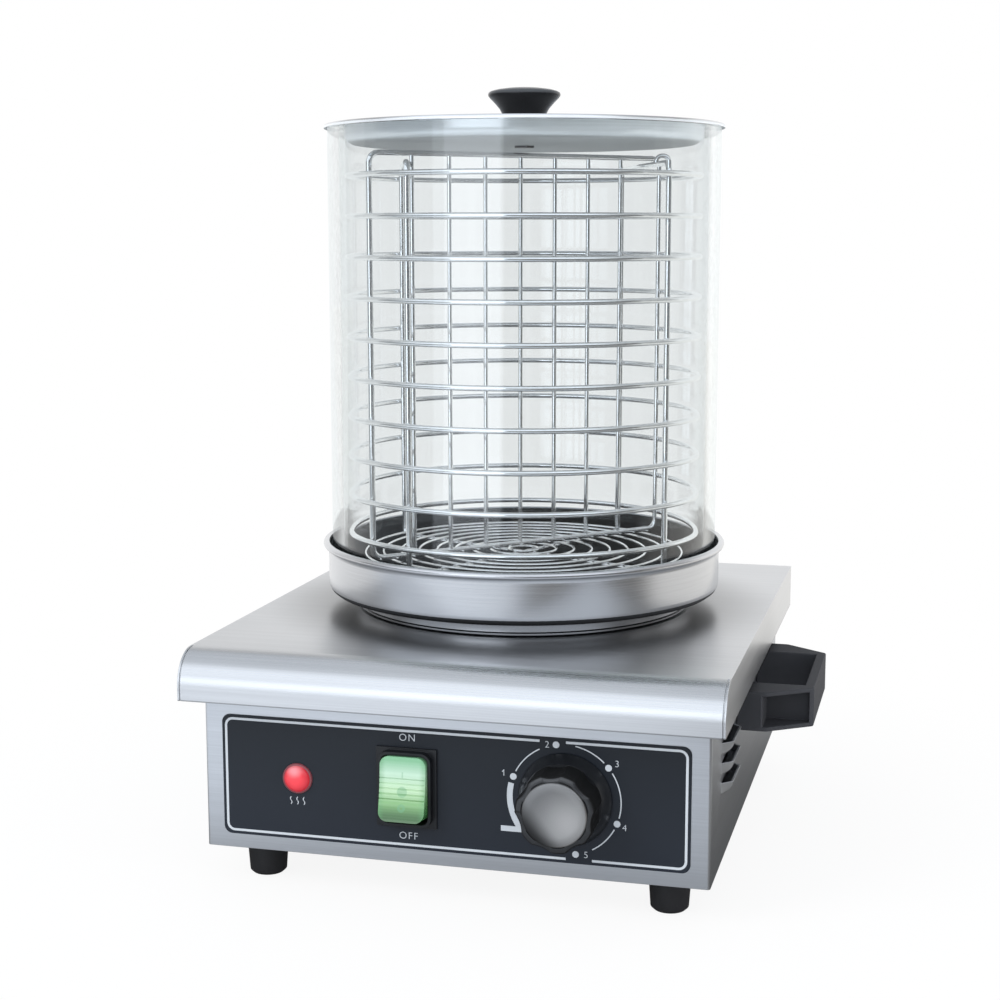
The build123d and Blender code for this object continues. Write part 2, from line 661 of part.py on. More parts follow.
def switch_frame():
    """Plate, raised collar and barrel of the rocker switch, in one moulding."""
    width, height = 2 * SWITCH_OPENING_X, 2 * SWITCH_OPENING_Z
    rim = 2 * SWITCH_WALL
    plate = extrude(Rectangle(SWITCH_PLATE_WIDTH, SWITCH_PLATE_HEIGHT), SWITCH_PLATE_THICKNESS)
    collar = extrude(RectangleRounded(width + rim, height + rim, SWITCH_COLLAR_RADIUS), COLLAR_FRONT)
    depth = SWITCH_BARREL_DEPTH + LABEL_THICKNESS
    barrel = Pos(0, 0, -depth / 2) * Box(width + rim, height + rim, depth)
    inner = RectangleRounded(width, height, SWITCH_COLLAR_RADIUS - SWITCH_WALL)
    opening = Pos(0, 0, -SWITCH_FLOOR) * extrude(inner, SWITCH_FLOOR + COLLAR_FRONT + 1)
    pin_reach = width + 2 * TRUNNION_LENGTH
    pin_hole = Rot(0, 90, 0) * Cylinder(TRUNNION_RADIUS + RUNNING_CLEARANCE, pin_reach)
    frame = plate + collar + barrel - opening - Pos(0, 0, -LABEL_THICKNESS) * pin_hole
    return facing_front(SWITCH_X, LABEL_FRONT, CONTROL_Z) * frame


def switch_terminals():
    """Four blade terminals at the back of the switch."""
    blade = Box(TERMINAL_WIDTH, TERMINAL_THICKNESS, TERMINAL_LENGTH)
    back = -SWITCH_BARREL_DEPTH - TERMINAL_LENGTH / 2
    frame = facing_front(SWITCH_X, BODY_FRONT, CONTROL_Z)
    columns = (-SWITCH_OPENING_X / 2, SWITCH_OPENING_X / 2)
    rows = (-SWITCH_OPENING_Z / 2, SWITCH_OPENING_Z / 2)
    return [frame * Pos(x, z, back) * blade for x in columns for z in rows]


def switch_rocker():
    """Dished rocker with fine grooves and two trunnions, tilted to ON."""
    half, face = ROCKER_HEIGHT / 2, ROCKER_FACE_HEIGHT
    dish = face - ROCKER_DISH
    sides = Polyline((-half, face), (-half, -ROCKER_BACK), (half, -ROCKER_BACK), (half, face))
    front = ThreePointArc((half, face), (0, dish), (-half, face))
    body = extrude(Plane.YZ * make_face(sides + front), ROCKER_WIDTH / 2, both=True)
    corners = RectangleRounded(ROCKER_WIDTH, ROCKER_HEIGHT, ROCKER_CORNER_RADIUS)
    body &= Pos(0, 0, -ROCKER_BACK) * extrude(corners, face + ROCKER_BACK + 1)
    first = -(RIB_COUNT - 1) / 2 * RIB_PITCH
    groove = Rot(45, 0, 0) * Box(ROCKER_WIDTH + 2, RIB_WIDTH, RIB_WIDTH)
    for index in range(RIB_COUNT):
        body -= Pos(0, first + index * RIB_PITCH, dish) * groove
    pins = ROCKER_WIDTH + 2 * TRUNNION_LENGTH
    body += Rot(0, 90, 0) * Cylinder(TRUNNION_RADIUS, pins)
    return facing_front(SWITCH_X, BODY_FRONT, CONTROL_Z) * Rot(-ROCKER_TILT, 0, 0) * body


def knob_axis():
    """Location on the knob's axis at the label, +Z towards the front."""
    return facing_front(KNOB_X, LABEL_FRONT, CONTROL_Z)


def shaft_section(length):
    """Round shaft with a flat, from the label forward."""
    flat = box(-SHAFT_RADIUS, SHAFT_FLAT, -SHAFT_RADIUS, SHAFT_RADIUS, 0, length)
    return disc(SHAFT_RADIUS, 0, length) & flat


def knob_grip():
    """Fluted control knob on a conical skirt, with a pointer slot."""
    base, top = KNOB_SKIRT_GAP, KNOB_GRIP_HEIGHT
    skirt_top = base + KNOB_SKIRT_HEIGHT
    edge_top = base + KNOB_SKIRT_EDGE
    knob = prism(KNOB_SKIRT_RADIUS, base, edge_top, TURNED_SIDE_COUNT)
    knob += tapered(KNOB_SKIRT_RADIUS, edge_top, KNOB_GRIP_RADIUS, skirt_top, TURNED_SIDE_COUNT)
    knob += prism(KNOB_GRIP_RADIUS, skirt_top, top, TURNED_SIDE_COUNT)
    centre = KNOB_GRIP_RADIUS + KNOB_FLUTE_RADIUS - KNOB_FLUTE_DEPTH
    flute = Pos(centre, 0, 0) * disc(KNOB_FLUTE_RADIUS, skirt_top, top + 1)
    for index in range(KNOB_FLUTE_COUNT):
        knob -= Rot(0, 0, KNOB_FLUTE_TURN + index * 360 / KNOB_FLUTE_COUNT) * flute
    half = KNOB_POINTER_WIDTH / 2
    pointer = box(KNOB_CAP_RADIUS, KNOB_SKIRT_RADIUS, -half, half, top - KNOB_POINTER_DEPTH, top + 1)
    return knob_axis() * (knob - shaft_section(SHAFT_LENGTH) - Rot(0, 0, KNOB_POINTER_ANGLE) * pointer)


def knob_cap():
    """Turned metal cap on the knob's face."""
    face = KNOB_GRIP_HEIGHT
    return knob_axis() * prism(KNOB_CAP_RADIUS, face, face + KNOB_CAP_HEIGHT, TURNED_SIDE_COUNT)


def thermostat_shaft():
    """Turning shaft from the thermostat into the knob."""
    back = SHAFT_BACK + LABEL_THICKNESS + SHEET
    return knob_axis() * (shaft_section(SHAFT_LENGTH) + disc(SHAFT_RADIUS, -back, 0))


def thermostat_body():
    """Thermostat case behind the panel, with the neck of its shaft."""
    half = THERMOSTAT_SIZE / 2
    neck_end = SHEET + LABEL_THICKNESS
    case = box(-half, half, -half, half, -THERMOSTAT_DEPTH, 0)
    case += prism(NECK_RADIUS, 0, neck_end, STEM_SIDE_COUNT)
    case -= disc(SHAFT_RADIUS + RUNNING_CLEARANCE, -SHAFT_BACK - SEAT_GAP, neck_end + 1)
    return facing_front(KNOB_X, PANEL_INSIDE, CONTROL_Z) * case


# ---------------------------------------------------------------------- heater
def heater_plate():
    """Cast plate under the tray's floor, with the stud that holds the bracket."""
    stud_end = BRACKET_UNDER - HEATER_STUD_EXTRA
    plate = prism(HEATER_PLATE_RADIUS, HEATER_UNDER, COVER_TOP, TURNED_SIDE_COUNT)
    return TUBE_AXIS * (plate + prism(HEATER_STUD_RADIUS, stud_end, HEATER_UNDER, SHANK_SIDE_COUNT))


def heating_element():
    """Element: an open ring with both ends turned down."""
    ring = hoop(ELEMENT_RADIUS, ELEMENT_Z, ELEMENT_TUBE_RADIUS, ELEMENT_SIDE_COUNT)
    outer = ELEMENT_RADIUS + ELEMENT_TUBE_RADIUS
    half_gap = ELEMENT_GAP / 2
    ring -= box(-half_gap, half_gap, 0, outer + 1, BRACKET_UNDER, HEATER_UNDER)
    width = 2 * ELEMENT_TUBE_RADIUS
    low = ELEMENT_Z - ELEMENT_TERMINAL_LENGTH
    y = math.sqrt(ELEMENT_RADIUS**2 - half_gap**2)
    for x in (-half_gap - width / 2, half_gap + width / 2):
        ring += Pos(x, y, (low + ELEMENT_Z) / 2) * Box(width, width, ELEMENT_Z - low)
    return TUBE_AXIS * ring


def heater_bracket():
    """Flat bar that presses the element against the plate."""
    half, width = BRACKET_LENGTH / 2, BRACKET_WIDTH / 2
    bar = box(-half, half, -width, width, BRACKET_UNDER, BRACKET_TOP)
    return TUBE_AXIS * (bar - prism(HEATER_STUD_RADIUS + HOLE_CLEARANCE, 0, COVER_TOP, SHANK_SIDE_COUNT))


def heater_nut():
    """Nut under the bracket."""
    nut = hex_nut(HEATER_NUT_RADIUS, HEATER_NUT_HEIGHT, HEATER_STUD_RADIUS, SHANK_SIDE_COUNT)
    return TUBE_AXIS * Pos(0, 0, BRACKET_UNDER - HEATER_NUT_HEIGHT) * nut


# --------------------------------------------------------- supply connections
def cable_gland():
    """Cable gland in the rear panel: thread, hexagon and tapered clamping cap."""
    reach = GLAND_LENGTH
    nose = reach - GLAND_NOSE_LENGTH
    gland = prism(GLAND_THREAD_RADIUS, -GLAND_THREAD_LENGTH, 0, STEM_SIDE_COUNT)
    gland += prism(GLAND_HEX_RADIUS, 0, GLAND_HEX_HEIGHT, HEX_SIDE_COUNT)
    gland += prism(GLAND_DOME_RADIUS, GLAND_HEX_HEIGHT, nose, STEM_SIDE_COUNT)
    gland += tapered(GLAND_DOME_RADIUS, nose, GLAND_NOSE_RADIUS, reach, STEM_SIDE_COUNT)
    gland -= prism(GLAND_BORE_RADIUS, -GLAND_THREAD_LENGTH - 1, reach + 1, STEM_SIDE_COUNT)
    return facing_back(GLAND_X, BODY_BACK + SHEET, GLAND_Z) * gland


def gland_nut():
    """Lock nut of the gland, inside the rear panel."""
    nut = hex_nut(GLAND_HEX_RADIUS, GLAND_NUT_HEIGHT, GLAND_THREAD_RADIUS, STEM_SIDE_COUNT)
    return facing_front(GLAND_X, BODY_BACK, GLAND_Z) * nut


def terminal_block():
    """Moulded block on the bottom plate where the supply is connected."""
    pitch = BLOCK_LENGTH / BLOCK_WAYS
    top = PLATE_TOP + BLOCK_HEIGHT
    block = Pos(BLOCK_X, BLOCK_Y, (PLATE_TOP + top) / 2) * Box(BLOCK_LENGTH, BLOCK_DEPTH, BLOCK_HEIGHT)
    for index in range(BLOCK_WAYS):
        x = BLOCK_X + (index - (BLOCK_WAYS - 1) / 2) * pitch
        block -= Pos(x, BLOCK_Y, top) * Box(BLOCK_ENTRY, BLOCK_ENTRY, 2 * BLOCK_ENTRY_DEPTH)
    return block


def earth_stud():
    """Earthing stud on the bottom plate."""
    return Pos(EARTH_X, EARTH_Y, PLATE_TOP) * prism(SCREW_RADIUS, 0, EARTH_STUD_LENGTH, SHANK_SIDE_COUNT)


# -------------------------------------------------------------------- water tray
def water_tray():
    """Deep-drawn tray: a basin, a ledge for the glass and a rolled rim."""
    wall, foot, thick, bead = TRAY_WALL_RADIUS, TRAY_FOOT_RADIUS, TRAY_SHEET, TRAY_BEAD
    rim = COVER_TOP + TRAY_RIM_HEIGHT - bead
    points = [
        (0, COVER_TOP),
        (foot, COVER_TOP),
        (foot, TRAY_LEDGE - thick),
        (wall, TRAY_LEDGE - thick),
        (wall, rim - bead),
        (TRAY_RIM_RADIUS, rim - bead / 2),
        (TRAY_RIM_RADIUS, rim + bead / 2),
        (TRAY_RIM_RADIUS - bead, rim + bead),
        (wall - thick, rim + bead / 2),
        (wall - thick, TRAY_LEDGE),
        (foot - thick, TRAY_LEDGE),
        (foot - thick, BASIN_FLOOR),
        (0, BASIN_FLOOR),
    ]
    bends = [0] * len(points)
    bends[3] = TRAY_WALL_BEND
    bends[9] = TRAY_WALL_BEND - thick
    return TUBE_AXIS * spun(points, bends)


# ------------------------------------------------------------- glass tube and lid
def glass_tube():
    """Clear tube that stands on the tray's ledge."""
    inner = GLASS_INNER_RADIUS
    tube = prism(GLASS_OUTER_RADIUS, GLASS_BOTTOM, GLASS_TOP, SHEET_SIDE_COUNT)
    return TUBE_AXIS * (tube - prism(inner, GLASS_BOTTOM - 1, GLASS_TOP + 1, SHEET_SIDE_COUNT))


def lid_pan():
    """Pressed lid: a flange with a turned-down lip around a sunk pan."""
    flange, pan, thick = LID_FLANGE_RADIUS, LID_PAN_RADIUS, LID_SHEET
    lip = LID_TOP - LID_LIP_HEIGHT
    points = [
        (0, PAN_BOTTOM),
        (pan, PAN_BOTTOM),
        (pan, FLANGE_UNDER),
        (flange - thick, FLANGE_UNDER),
        (flange - thick, lip),
        (flange, lip),
        (flange, LID_TOP),
        (pan - thick, LID_TOP),
        (pan - thick, PAN_FLOOR),
        (0, PAN_FLOOR),
    ]
    bends = [0] * len(points)
    bends[1] = LID_PAN_BEND
    bends[8] = LID_PAN_BEND - thick
    hole = prism(LID_SCREW_RADIUS + HOLE_CLEARANCE, 0, LID_TOP, SHANK_SIDE_COUNT)
    return TUBE_AXIS * (spun(points, bends) - hole)


def lid_knob():
    """Knob of the lid: a foot, a slim neck and a wide crowned head."""
    edge = LID_KNOB_HEIGHT - LID_KNOB_EDGE_DROP
    crown = edge + LID_KNOB_EDGE_HEIGHT
    foot, neck = LID_KNOB_FOOT_HEIGHT, LID_KNOB_NECK_HEIGHT
    knob = tapered(LID_KNOB_FOOT_RADIUS, 0, LID_KNOB_NECK_RADIUS, foot, TURNED_SIDE_COUNT)
    knob += prism(LID_KNOB_NECK_RADIUS, foot, neck, TURNED_SIDE_COUNT)
    knob += tapered(LID_KNOB_NECK_RADIUS, neck, LID_KNOB_RADIUS, edge, TURNED_SIDE_COUNT)
    knob += prism(LID_KNOB_RADIUS, edge, crown, TURNED_SIDE_COUNT)
    knob += tapered(LID_KNOB_RADIUS, crown, LID_KNOB_CROWN_RADIUS, LID_KNOB_HEIGHT, TURNED_SIDE_COUNT)
    knob -= prism(LID_SCREW_RADIUS, -1, LID_SCREW_REACH, SHANK_SIDE_COUNT)
    return TUBE_AXIS * Pos(0, 0, PAN_FLOOR) * knob


def lid_screw():
    """Screw from under the lid into its knob."""
    reach = LID_SHEET + LID_SCREW_REACH - 1
    screw = hex_screw(reach, LID_SCREW_HEAD_RADIUS, LID_SCREW_HEAD_HEIGHT, LID_SCREW_RADIUS)
    return TUBE_AXIS * Pos(0, 0, PAN_BOTTOM) * Rot(180, 0, 0) * screw


# ------------------------------------------------------------------------ basket
def basket_rings():
    """Evenly stacked wire hoops of the basket's wall."""
    heights = [RING_FIRST_Z + index * RING_PITCH for index in range(RING_COUNT)]
    return [TUBE_AXIS * hoop(RING_RADIUS, z, WIRE_RADIUS, HOOP_SIDE_COUNT) for z in heights]


def frame_loop(azimuth):
    """Wire from the hub out, up one post, along a bail, down the next post and back."""
    following = azimuth + 90
    hub = Vector(0, 0, FRAME_BAR_Z)
    corners = [
        hub,
        around(azimuth, POST_RADIUS, FRAME_BAR_Z),
        around(azimuth, POST_RADIUS, BAIL_Z),
        around(following, POST_RADIUS, BAIL_Z),
        around(following, POST_RADIUS, FRAME_BAR_Z),
        hub,
    ]
    return bent_wire(corners, FRAME_BEND, WIRE_RADIUS)


def post_hook(azimuth):
    """Hook that carries on up from one post and turns down onto its bail."""
    width = 2 * HOOK_RADIUS
    top = HOOK_RADIUS + HOOK_WIRE_RADIUS
    corners = [(0, 0, -FRAME_BEND), (0, 0, top), (width, 0, top), (width, 0, 0)]
    hook = bent_wire(corners, HOOK_RADIUS, HOOK_WIRE_RADIUS)
    place = around(azimuth, POST_RADIUS, BAIL_Z)
    return Pos(place.X, place.Y, place.Z) * Rot(0, 0, azimuth + 45) * hook


def basket_frame():
    """Two bent wire loops joined at the hub, with hooks above and legs below."""
    frame = frame_loop(POST_AZIMUTH) + frame_loop(POST_AZIMUTH + 180)
    for azimuth in (POST_AZIMUTH, POST_AZIMUTH + 180):
        frame += post_hook(azimuth)
    leg = prism(WIRE_RADIUS, BASIN_FLOOR + SEAT_GAP, FRAME_BAR_Z, WIRE_SIDE_COUNT)
    for quarter in range(4):
        place = around(POST_AZIMUTH + 90 * quarter, LEG_RADIAL_POSITION, 0)
        frame += Pos(place.X, place.Y, 0) * leg
    return TUBE_AXIS * frame


def basket_grate():
    """Concentric wires of the basket's floor, lying on the crossed bars."""
    radii = [GRATE_RADIUS - index * GRATE_PITCH for index in range(GRATE_RING_COUNT)]
    return [TUBE_AXIS * hoop(radius, GRATE_Z, GRATE_WIRE_RADIUS, GRATE_SIDE_COUNT) for radius in radii]


def basket_divider():
    """Upright wire screen across the basket: a closed frame with evenly spaced bars."""
    half, low, high = POST_RADIUS, DIVIDER_BOTTOM, DIVIDER_TOP
    corners = [(-half, 0, low), (half, 0, low), (half, 0, high), (-half, 0, high)]
    screen = bent_wire(corners, DIVIDER_BEND, WIRE_RADIUS, closed=True)
    bar = prism(DIVIDER_BAR_RADIUS, low, high, WIRE_SIDE_COUNT)
    first = DIVIDER_SHIFT - (DIVIDER_BAR_COUNT - 1) / 2 * DIVIDER_BAR_PITCH
    for index in range(DIVIDER_BAR_COUNT):
        screen += Pos(first + index * DIVIDER_BAR_PITCH, 0, 0) * bar
    return TUBE_AXIS * Rot(0, 0, DIVIDER_ANGLE) * screen


# ------------------------------------------------------------------------ export
def save(name, shape):
    """Write one node: a single solid, or a list of equal separate solids."""
    if isinstance(shape, list):
        shape = Compound(children=[item.solid() for item in shape])
    export_step(shape, os.path.join("parts", name + ".step"))
    print(name, "written")


def main():
    """Build every piece and write it to its own file."""
    os.makedirs("parts", exist_ok=True)
    handle = right_handle()
    right_screws = right_handle_screws()
    left_screws = [mirror(screw, about=Plane.YZ) for screw in right_screws]
    nodes = {
        "top_cover": top_cover(),
        "base_housing": base_housing(),
        "rear_panel": rear_panel(),
        "rear_screws": rear_screws(),
        "bottom_plate": bottom_plate(),
        "feet": feet(),
        "handle_right": handle,
        "handle_left": mirror(handle, about=Plane.YZ),
        "handle_screws": right_screws + left_screws,
        "control_label": control_label(),
        "pilot_lens": pilot_lens(),
        "pilot_body": pilot_body(),
        "switch_frame": switch_frame(),
        "switch_terminals": switch_terminals(),
        "switch_rocker": switch_rocker(),
        "knob_grip": knob_grip(),
        "knob_cap": knob_cap(),
        "thermostat_shaft": thermostat_shaft(),
        "thermostat_body": thermostat_body(),
        "heater_plate": heater_plate(),
        "heating_element": heating_element(),
        "heater_bracket": heater_bracket(),
        "heater_nut": heater_nut(),
        "cable_gland": cable_gland(),
        "gland_nut": gland_nut(),
        "terminal_block": terminal_block(),
        "earth_stud": earth_stud(),
        "water_tray": water_tray(),
        "glass_tube": glass_tube(),
        "lid_pan": lid_pan(),
        "lid_knob": lid_knob(),
        "lid_screw": lid_screw(),
        "basket_rings": basket_rings(),
        "basket_frame": basket_frame(),
        "basket_grate": basket_grate(),
        "basket_divider": basket_divider(),
    }
    for name, shape in nodes.items():
        save(name, shape)


main()
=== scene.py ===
"""Dressed model of a countertop hot dog steamer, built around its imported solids."""

import logging
import math
from dataclasses import dataclass
from enum import Enum
from typing import Any, Callable, Iterable, Optional, Sequence

import bmesh
import bpy
from mathutils import Matrix, Vector

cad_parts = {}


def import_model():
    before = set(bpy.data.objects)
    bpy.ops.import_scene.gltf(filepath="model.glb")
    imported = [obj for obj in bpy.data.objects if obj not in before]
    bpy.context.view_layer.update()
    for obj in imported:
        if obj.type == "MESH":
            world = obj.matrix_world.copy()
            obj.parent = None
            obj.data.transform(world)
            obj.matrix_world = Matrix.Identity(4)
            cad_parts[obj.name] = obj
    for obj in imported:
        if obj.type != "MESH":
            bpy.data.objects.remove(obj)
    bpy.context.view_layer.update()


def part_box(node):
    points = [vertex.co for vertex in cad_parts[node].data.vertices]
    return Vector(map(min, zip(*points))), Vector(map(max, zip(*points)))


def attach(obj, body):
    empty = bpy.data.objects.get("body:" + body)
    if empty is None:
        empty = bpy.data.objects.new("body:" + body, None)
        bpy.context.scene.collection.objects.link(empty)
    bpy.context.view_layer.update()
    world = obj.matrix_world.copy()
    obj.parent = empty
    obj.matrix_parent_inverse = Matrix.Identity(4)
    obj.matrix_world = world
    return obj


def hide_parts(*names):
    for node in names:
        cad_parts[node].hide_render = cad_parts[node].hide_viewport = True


LOG = logging.getLogger("steamer")
MM = 0.001
FULL_TURN = 2 * math.pi
TURN_STEPS = 144
BEVEL_STEPS = 3

Point = tuple[float, float]
Colour = tuple[float, float, float]
Socket = bpy.types.NodeSocket
Material = bpy.types.Material

BLACK: Colour = (0.0, 0.0, 0.0)
WHITE: Colour = (1.0, 1.0, 1.0)


class Body(Enum):
    """Rigid bodies of the steamer."""

    BASE = "base"
    BASKET = "basket"
    GLASS = "glass"
    LID = "lid"
    ROCKER = "rocker"
    KNOB = "knob"


# ------------------------------ shader maths
def operator(operation: str, swapped: bool = False) -> Callable[["Value", Any], "Value"]:
    """Make the method of a value that answers one Python operator.

    Args:
        operation: operation of the Math node.
        swapped: whether the other value comes first.

    Returns:
        The method.
    """

    def method(self: "Value", other: Any) -> "Value":
        """Add the Math node."""
        return self.reckon(operation, *((other, self) if swapped else (self, other)))

    return method


class Value:
    """A number socket of a node tree that takes part in Python expressions."""

    def __init__(self, tree: "Tree", socket: Socket) -> None:
        """Wrap one output socket."""
        self.tree = tree
        self.socket = socket

    def reckon(self, operation: str, *values: Any) -> "Value":
        """Add one Math node on some values."""
        node = self.tree.add("ShaderNodeMath", {"operation": operation}, dict(enumerate(values)))
        return Value(self.tree, node.outputs[0])

    __add__ = __radd__ = operator("ADD")
    __sub__ = operator("SUBTRACT")
    __rsub__ = operator("SUBTRACT", swapped=True)
    __mul__ = __rmul__ = operator("MULTIPLY")
    __truediv__ = operator("DIVIDE")
    __gt__ = operator("GREATER_THAN")
    __lt__ = operator("LESS_THAN")
    most = operator("MAXIMUM")

    def __abs__(self) -> "Value":
        """Magnitude."""
        return self.reckon("ABSOLUTE", self)

    def root(self) -> "Value":
        """Square root."""
        return self.reckon("SQRT", self)

    def reach(self, other: "Value") -> "Value":
        """Length of the diagonal over this value and another."""
        return (self * self + other * other).root()

    def heading(self, across: "Value") -> "Value":
        """Angle in degrees of the direction with this value up and another across."""
        return self.reckon("ARCTAN2", self, across) * (180 / math.pi)

    def between(self, low: float, high: float) -> "Value":
        """Smooth step of the value.

        Args:
            low: value that gives 0.
            high: value that gives 1.

        Returns:
            The stepped value.
        """
        inputs = {"Value": self, "From Min": low, "From Max": high}
        node = self.tree.add("ShaderNodeMapRange", {"interpolation_type": "SMOOTHSTEP"}, inputs)
        return Value(self.tree, node.outputs["Result"])

    def inside(self, start: float, end: float, soft: float) -> "Value":
        """Mask, 1 between two values with soft ends."""
        late = self.between(end - soft, end + soft)
        return self.between(start - soft, start + soft) * (1 - late)


def passing(first: Any, second: Any, share: Value) -> Value:
    """Pass from one number or value to another by a share."""
    return (second - first) * share + first


class Tree:
    """Node tree of one material, or of the world, while it is being written."""

    def __init__(self, name: str, world: bool = False) -> None:
        """Start an empty tree.

        Args:
            name: name of the material or world.
            world: whether it is a world.
        """
        self.owner = (bpy.data.worlds if world else bpy.data.materials).new(name)
        self.output = "ShaderNodeOutputWorld" if world else "ShaderNodeOutputMaterial"
        self.owner.use_nodes = True
        self.nodes = self.owner.node_tree.nodes
        self.links = self.owner.node_tree.links
        self.nodes.clear()

    def add(
        self, kind: str, settings: Optional[dict] = None, inputs: Optional[dict] = None
    ) -> bpy.types.Node:
        """Add one node.

        Args:
            kind: node type.
            settings: attributes that are set before the sockets.
            inputs: socket names or indices with a number, colour or link for each.

        Returns:
            The new node.
        """
        node = self.nodes.new(kind)
        for key, setting in (settings or {}).items():
            if key == "stops":
                self.set_stops(node.color_ramp, setting)
            else:
                setattr(node, key, setting)
        for key, value in (inputs or {}).items():
            self.feed(node.inputs[key], value)
        return node

    @staticmethod
    def set_stops(ramp: bpy.types.ColorRamp, stops: Sequence[tuple[float, Colour]]) -> None:
        """Write the stops of a colour ramp.

        Args:
            ramp: the ramp.
            stops: position and colour of each stop.
        """
        while len(ramp.elements) < len(stops):
            ramp.elements.new(1.0)
        for element, (position, colour) in zip(ramp.elements, stops):
            element.position = position
            element.color = (*colour, 1.0)

    def feed(self, socket: Socket, value: Any) -> None:
        """Give a socket a link or a plain value.

        Args:
            socket: the socket.
            value: a value, a socket, a colour or a number.
        """
        if isinstance(value, (Value, Socket)):
            self.links.new(getattr(value, "socket", value), socket)
        elif isinstance(value, tuple) and len(value) == 3 and socket.type == "RGBA":
            socket.default_value = (*value, 1.0)
        else:
            socket.default_value = value

    def place(self) -> Socket:
        """Object coordinates, in metres of the shared frame."""
        return self.add("ShaderNodeTexCoord").outputs["Object"]

    def axes(self, vector: Optional[Socket] = None) -> tuple[Value, Value, Value]:
        """Split a vector, or the place, into its three numbers."""
        node = self.add("ShaderNodeSeparateXYZ", None, {0: vector or self.place()})
        return tuple(Value(self, output) for output in node.outputs)

    def normal(self) -> tuple[Value, Value, Value]:
        """Split the surface's normal into its three numbers."""
        return self.axes(self.add("ShaderNodeNewGeometry").outputs["Normal"])

    def face(self, centre: Point, unit: float = 1.0) -> tuple[Value, Value]:
        """Distances across and up from an (x, z) centre on the panel, in a unit."""
        x, _, z = self.axes()
        return (x - centre[0]) / unit, (z - centre[1]) / unit

    def joined(self, x: Any, y: Any, z: Any) -> Socket:
        """Make a vector from three numbers."""
        return self.add("ShaderNodeCombineXYZ", None, {0: x, 1: y, 2: z}).outputs[0]

    def noise(self, vector: Socket, scale: float = 1.0, detail: float = 2.0) -> Value:
        """Read a noise.

        Args:
            vector: where it is read.
            scale: cells per unit.
            detail: octaves.

        Returns:
            The noise, 0 to 1.
        """
        inputs = {"Vector": vector, "Scale": scale, "Detail": detail}
        return Value(self, self.add("ShaderNodeTexNoise", None, inputs).outputs[0])

    def rays(self, *kinds: str) -> Value:
        """Mask, 1 for rays of one or two kinds of the Light Path node."""
        path = self.add("ShaderNodeLightPath").outputs
        return Value(self, path[f"Is {kinds[0]} Ray"]).most(Value(self, path[f"Is {kinds[-1]} Ray"]))

    def blend(self, mask: Any, first: Any, second: Any) -> Socket:
        """Mix two colours by a mask."""
        return self.add("ShaderNodeMix", {"data_type": "RGBA"}, {0: mask, 6: first, 7: second}).outputs[2]

    def scaled(self, colour: Colour, factor: Value) -> Socket:
        """Multiply a plain colour by a factor of 0 to 2."""
        return self.blend(factor * 0.5, BLACK, tuple(2 * part for part in colour))

    def mixed(self, mask: Value, first: Socket, second: Socket) -> Socket:
        """Mix two shaders by a mask."""
        return self.add("ShaderNodeMixShader", None, {0: mask, 1: first, 2: second}).outputs[0]

    def relief(self, height: Value, depth: float) -> Socket:
        """Bump from a height value, with its depth in metres."""
        return self.add("ShaderNodeBump", None, {"Height": height, "Distance": depth}).outputs[0]

    def surface(self, **sockets: Any) -> Socket:
        """Add the main shader; names are its sockets' with spaces as underscores."""
        inputs = {key.replace("_", " "): value for key, value in sockets.items()}
        return self.add("ShaderNodeBsdfPrincipled", None, inputs).outputs[0]

    def done(self, shader: Socket) -> bpy.types.ID:
        """Connect the output and hand over the material or world."""
        self.add(self.output, None, {"Surface": shader})
        return self.owner


# ------------------------------ finishes
@dataclass(frozen=True)
class Finish:
    """A material, written as a node tree."""

    name: str

    def shader(self, tree: Tree) -> Socket:
        """Write the shader into a tree."""
        raise NotImplementedError

    def material(self) -> Material:
        """Write the material."""
        tree = Tree(self.name)
        return tree.done(self.shader(tree))


@dataclass(frozen=True)
class BrushedSheet(Finish):
    """Stainless sheet with a straight grain along X, or along Y on its sides."""

    colour: Colour
    roughness: float
    contrast: float = 0.23
    fine: float = 2400.0
    broad: float = 260.0
    along: float = 7.0
    depth: float = 0.000009
    polish: float = 0.07
    # Centre Y, inner and outer radius of a ring of painted shade, and how dark it gets; none where the outer
    # radius is 0.
    shade_ring: tuple[float, float, float] = (0.0, 0.0, 0.0)
    ring_shade: float = 0.5
    # Height below which the sheet gets a painted shadow line, and how dark; none at 0.
    hem: float = 0.0
    hem_shade: float = 0.45

    def shader(self, tree: Tree) -> Socket:
        """Write the brushed metal, with painted shade in a ring about a centre and a painted shadow line along
        its hem.

        Args:
            tree: tree that takes the nodes.

        Returns:
            The shader.
        """
        x, y, z = tree.axes()
        over, ahead, up = tree.normal()
        side = abs(over).between(0.6, 0.8)
        run = passing(x, y, side)
        across = y * (1 - side) + x * side
        grain = tree.noise(tree.joined(run * self.along, across * self.fine, z * self.fine), detail=3.0)
        broad = tree.noise(tree.joined(run * 5, across * self.broad, z * self.broad))
        shade = 1 + (grain - 0.5) * self.contrast + (broad - 0.5) * self.contrast * 0.5
        colour = tree.scaled(self.colour, shade)
        middle, inner, outer = self.shade_ring
        # Painted shade, darkest within the inner radius and gone past the outer one.
        if outer:
            away = x.reach(y - middle)
            colour = tree.blend((1 - away.between(inner, outer)) * self.ring_shade, colour, BLACK)
        # Painted shadow line along the sheet's lowest edge.
        if self.hem:
            colour = tree.blend((z < self.hem) * self.hem_shade, colour, BLACK)
        bend = (abs(ahead) * up).between(0.10, 0.35)
        rough = self.roughness + (grain - 0.5) * 0.16 - bend * self.polish
        bump = tree.relief(grain, self.depth)
        return tree.surface(Base_Color=colour, Metallic=1.0, Roughness=rough, Normal=bump)


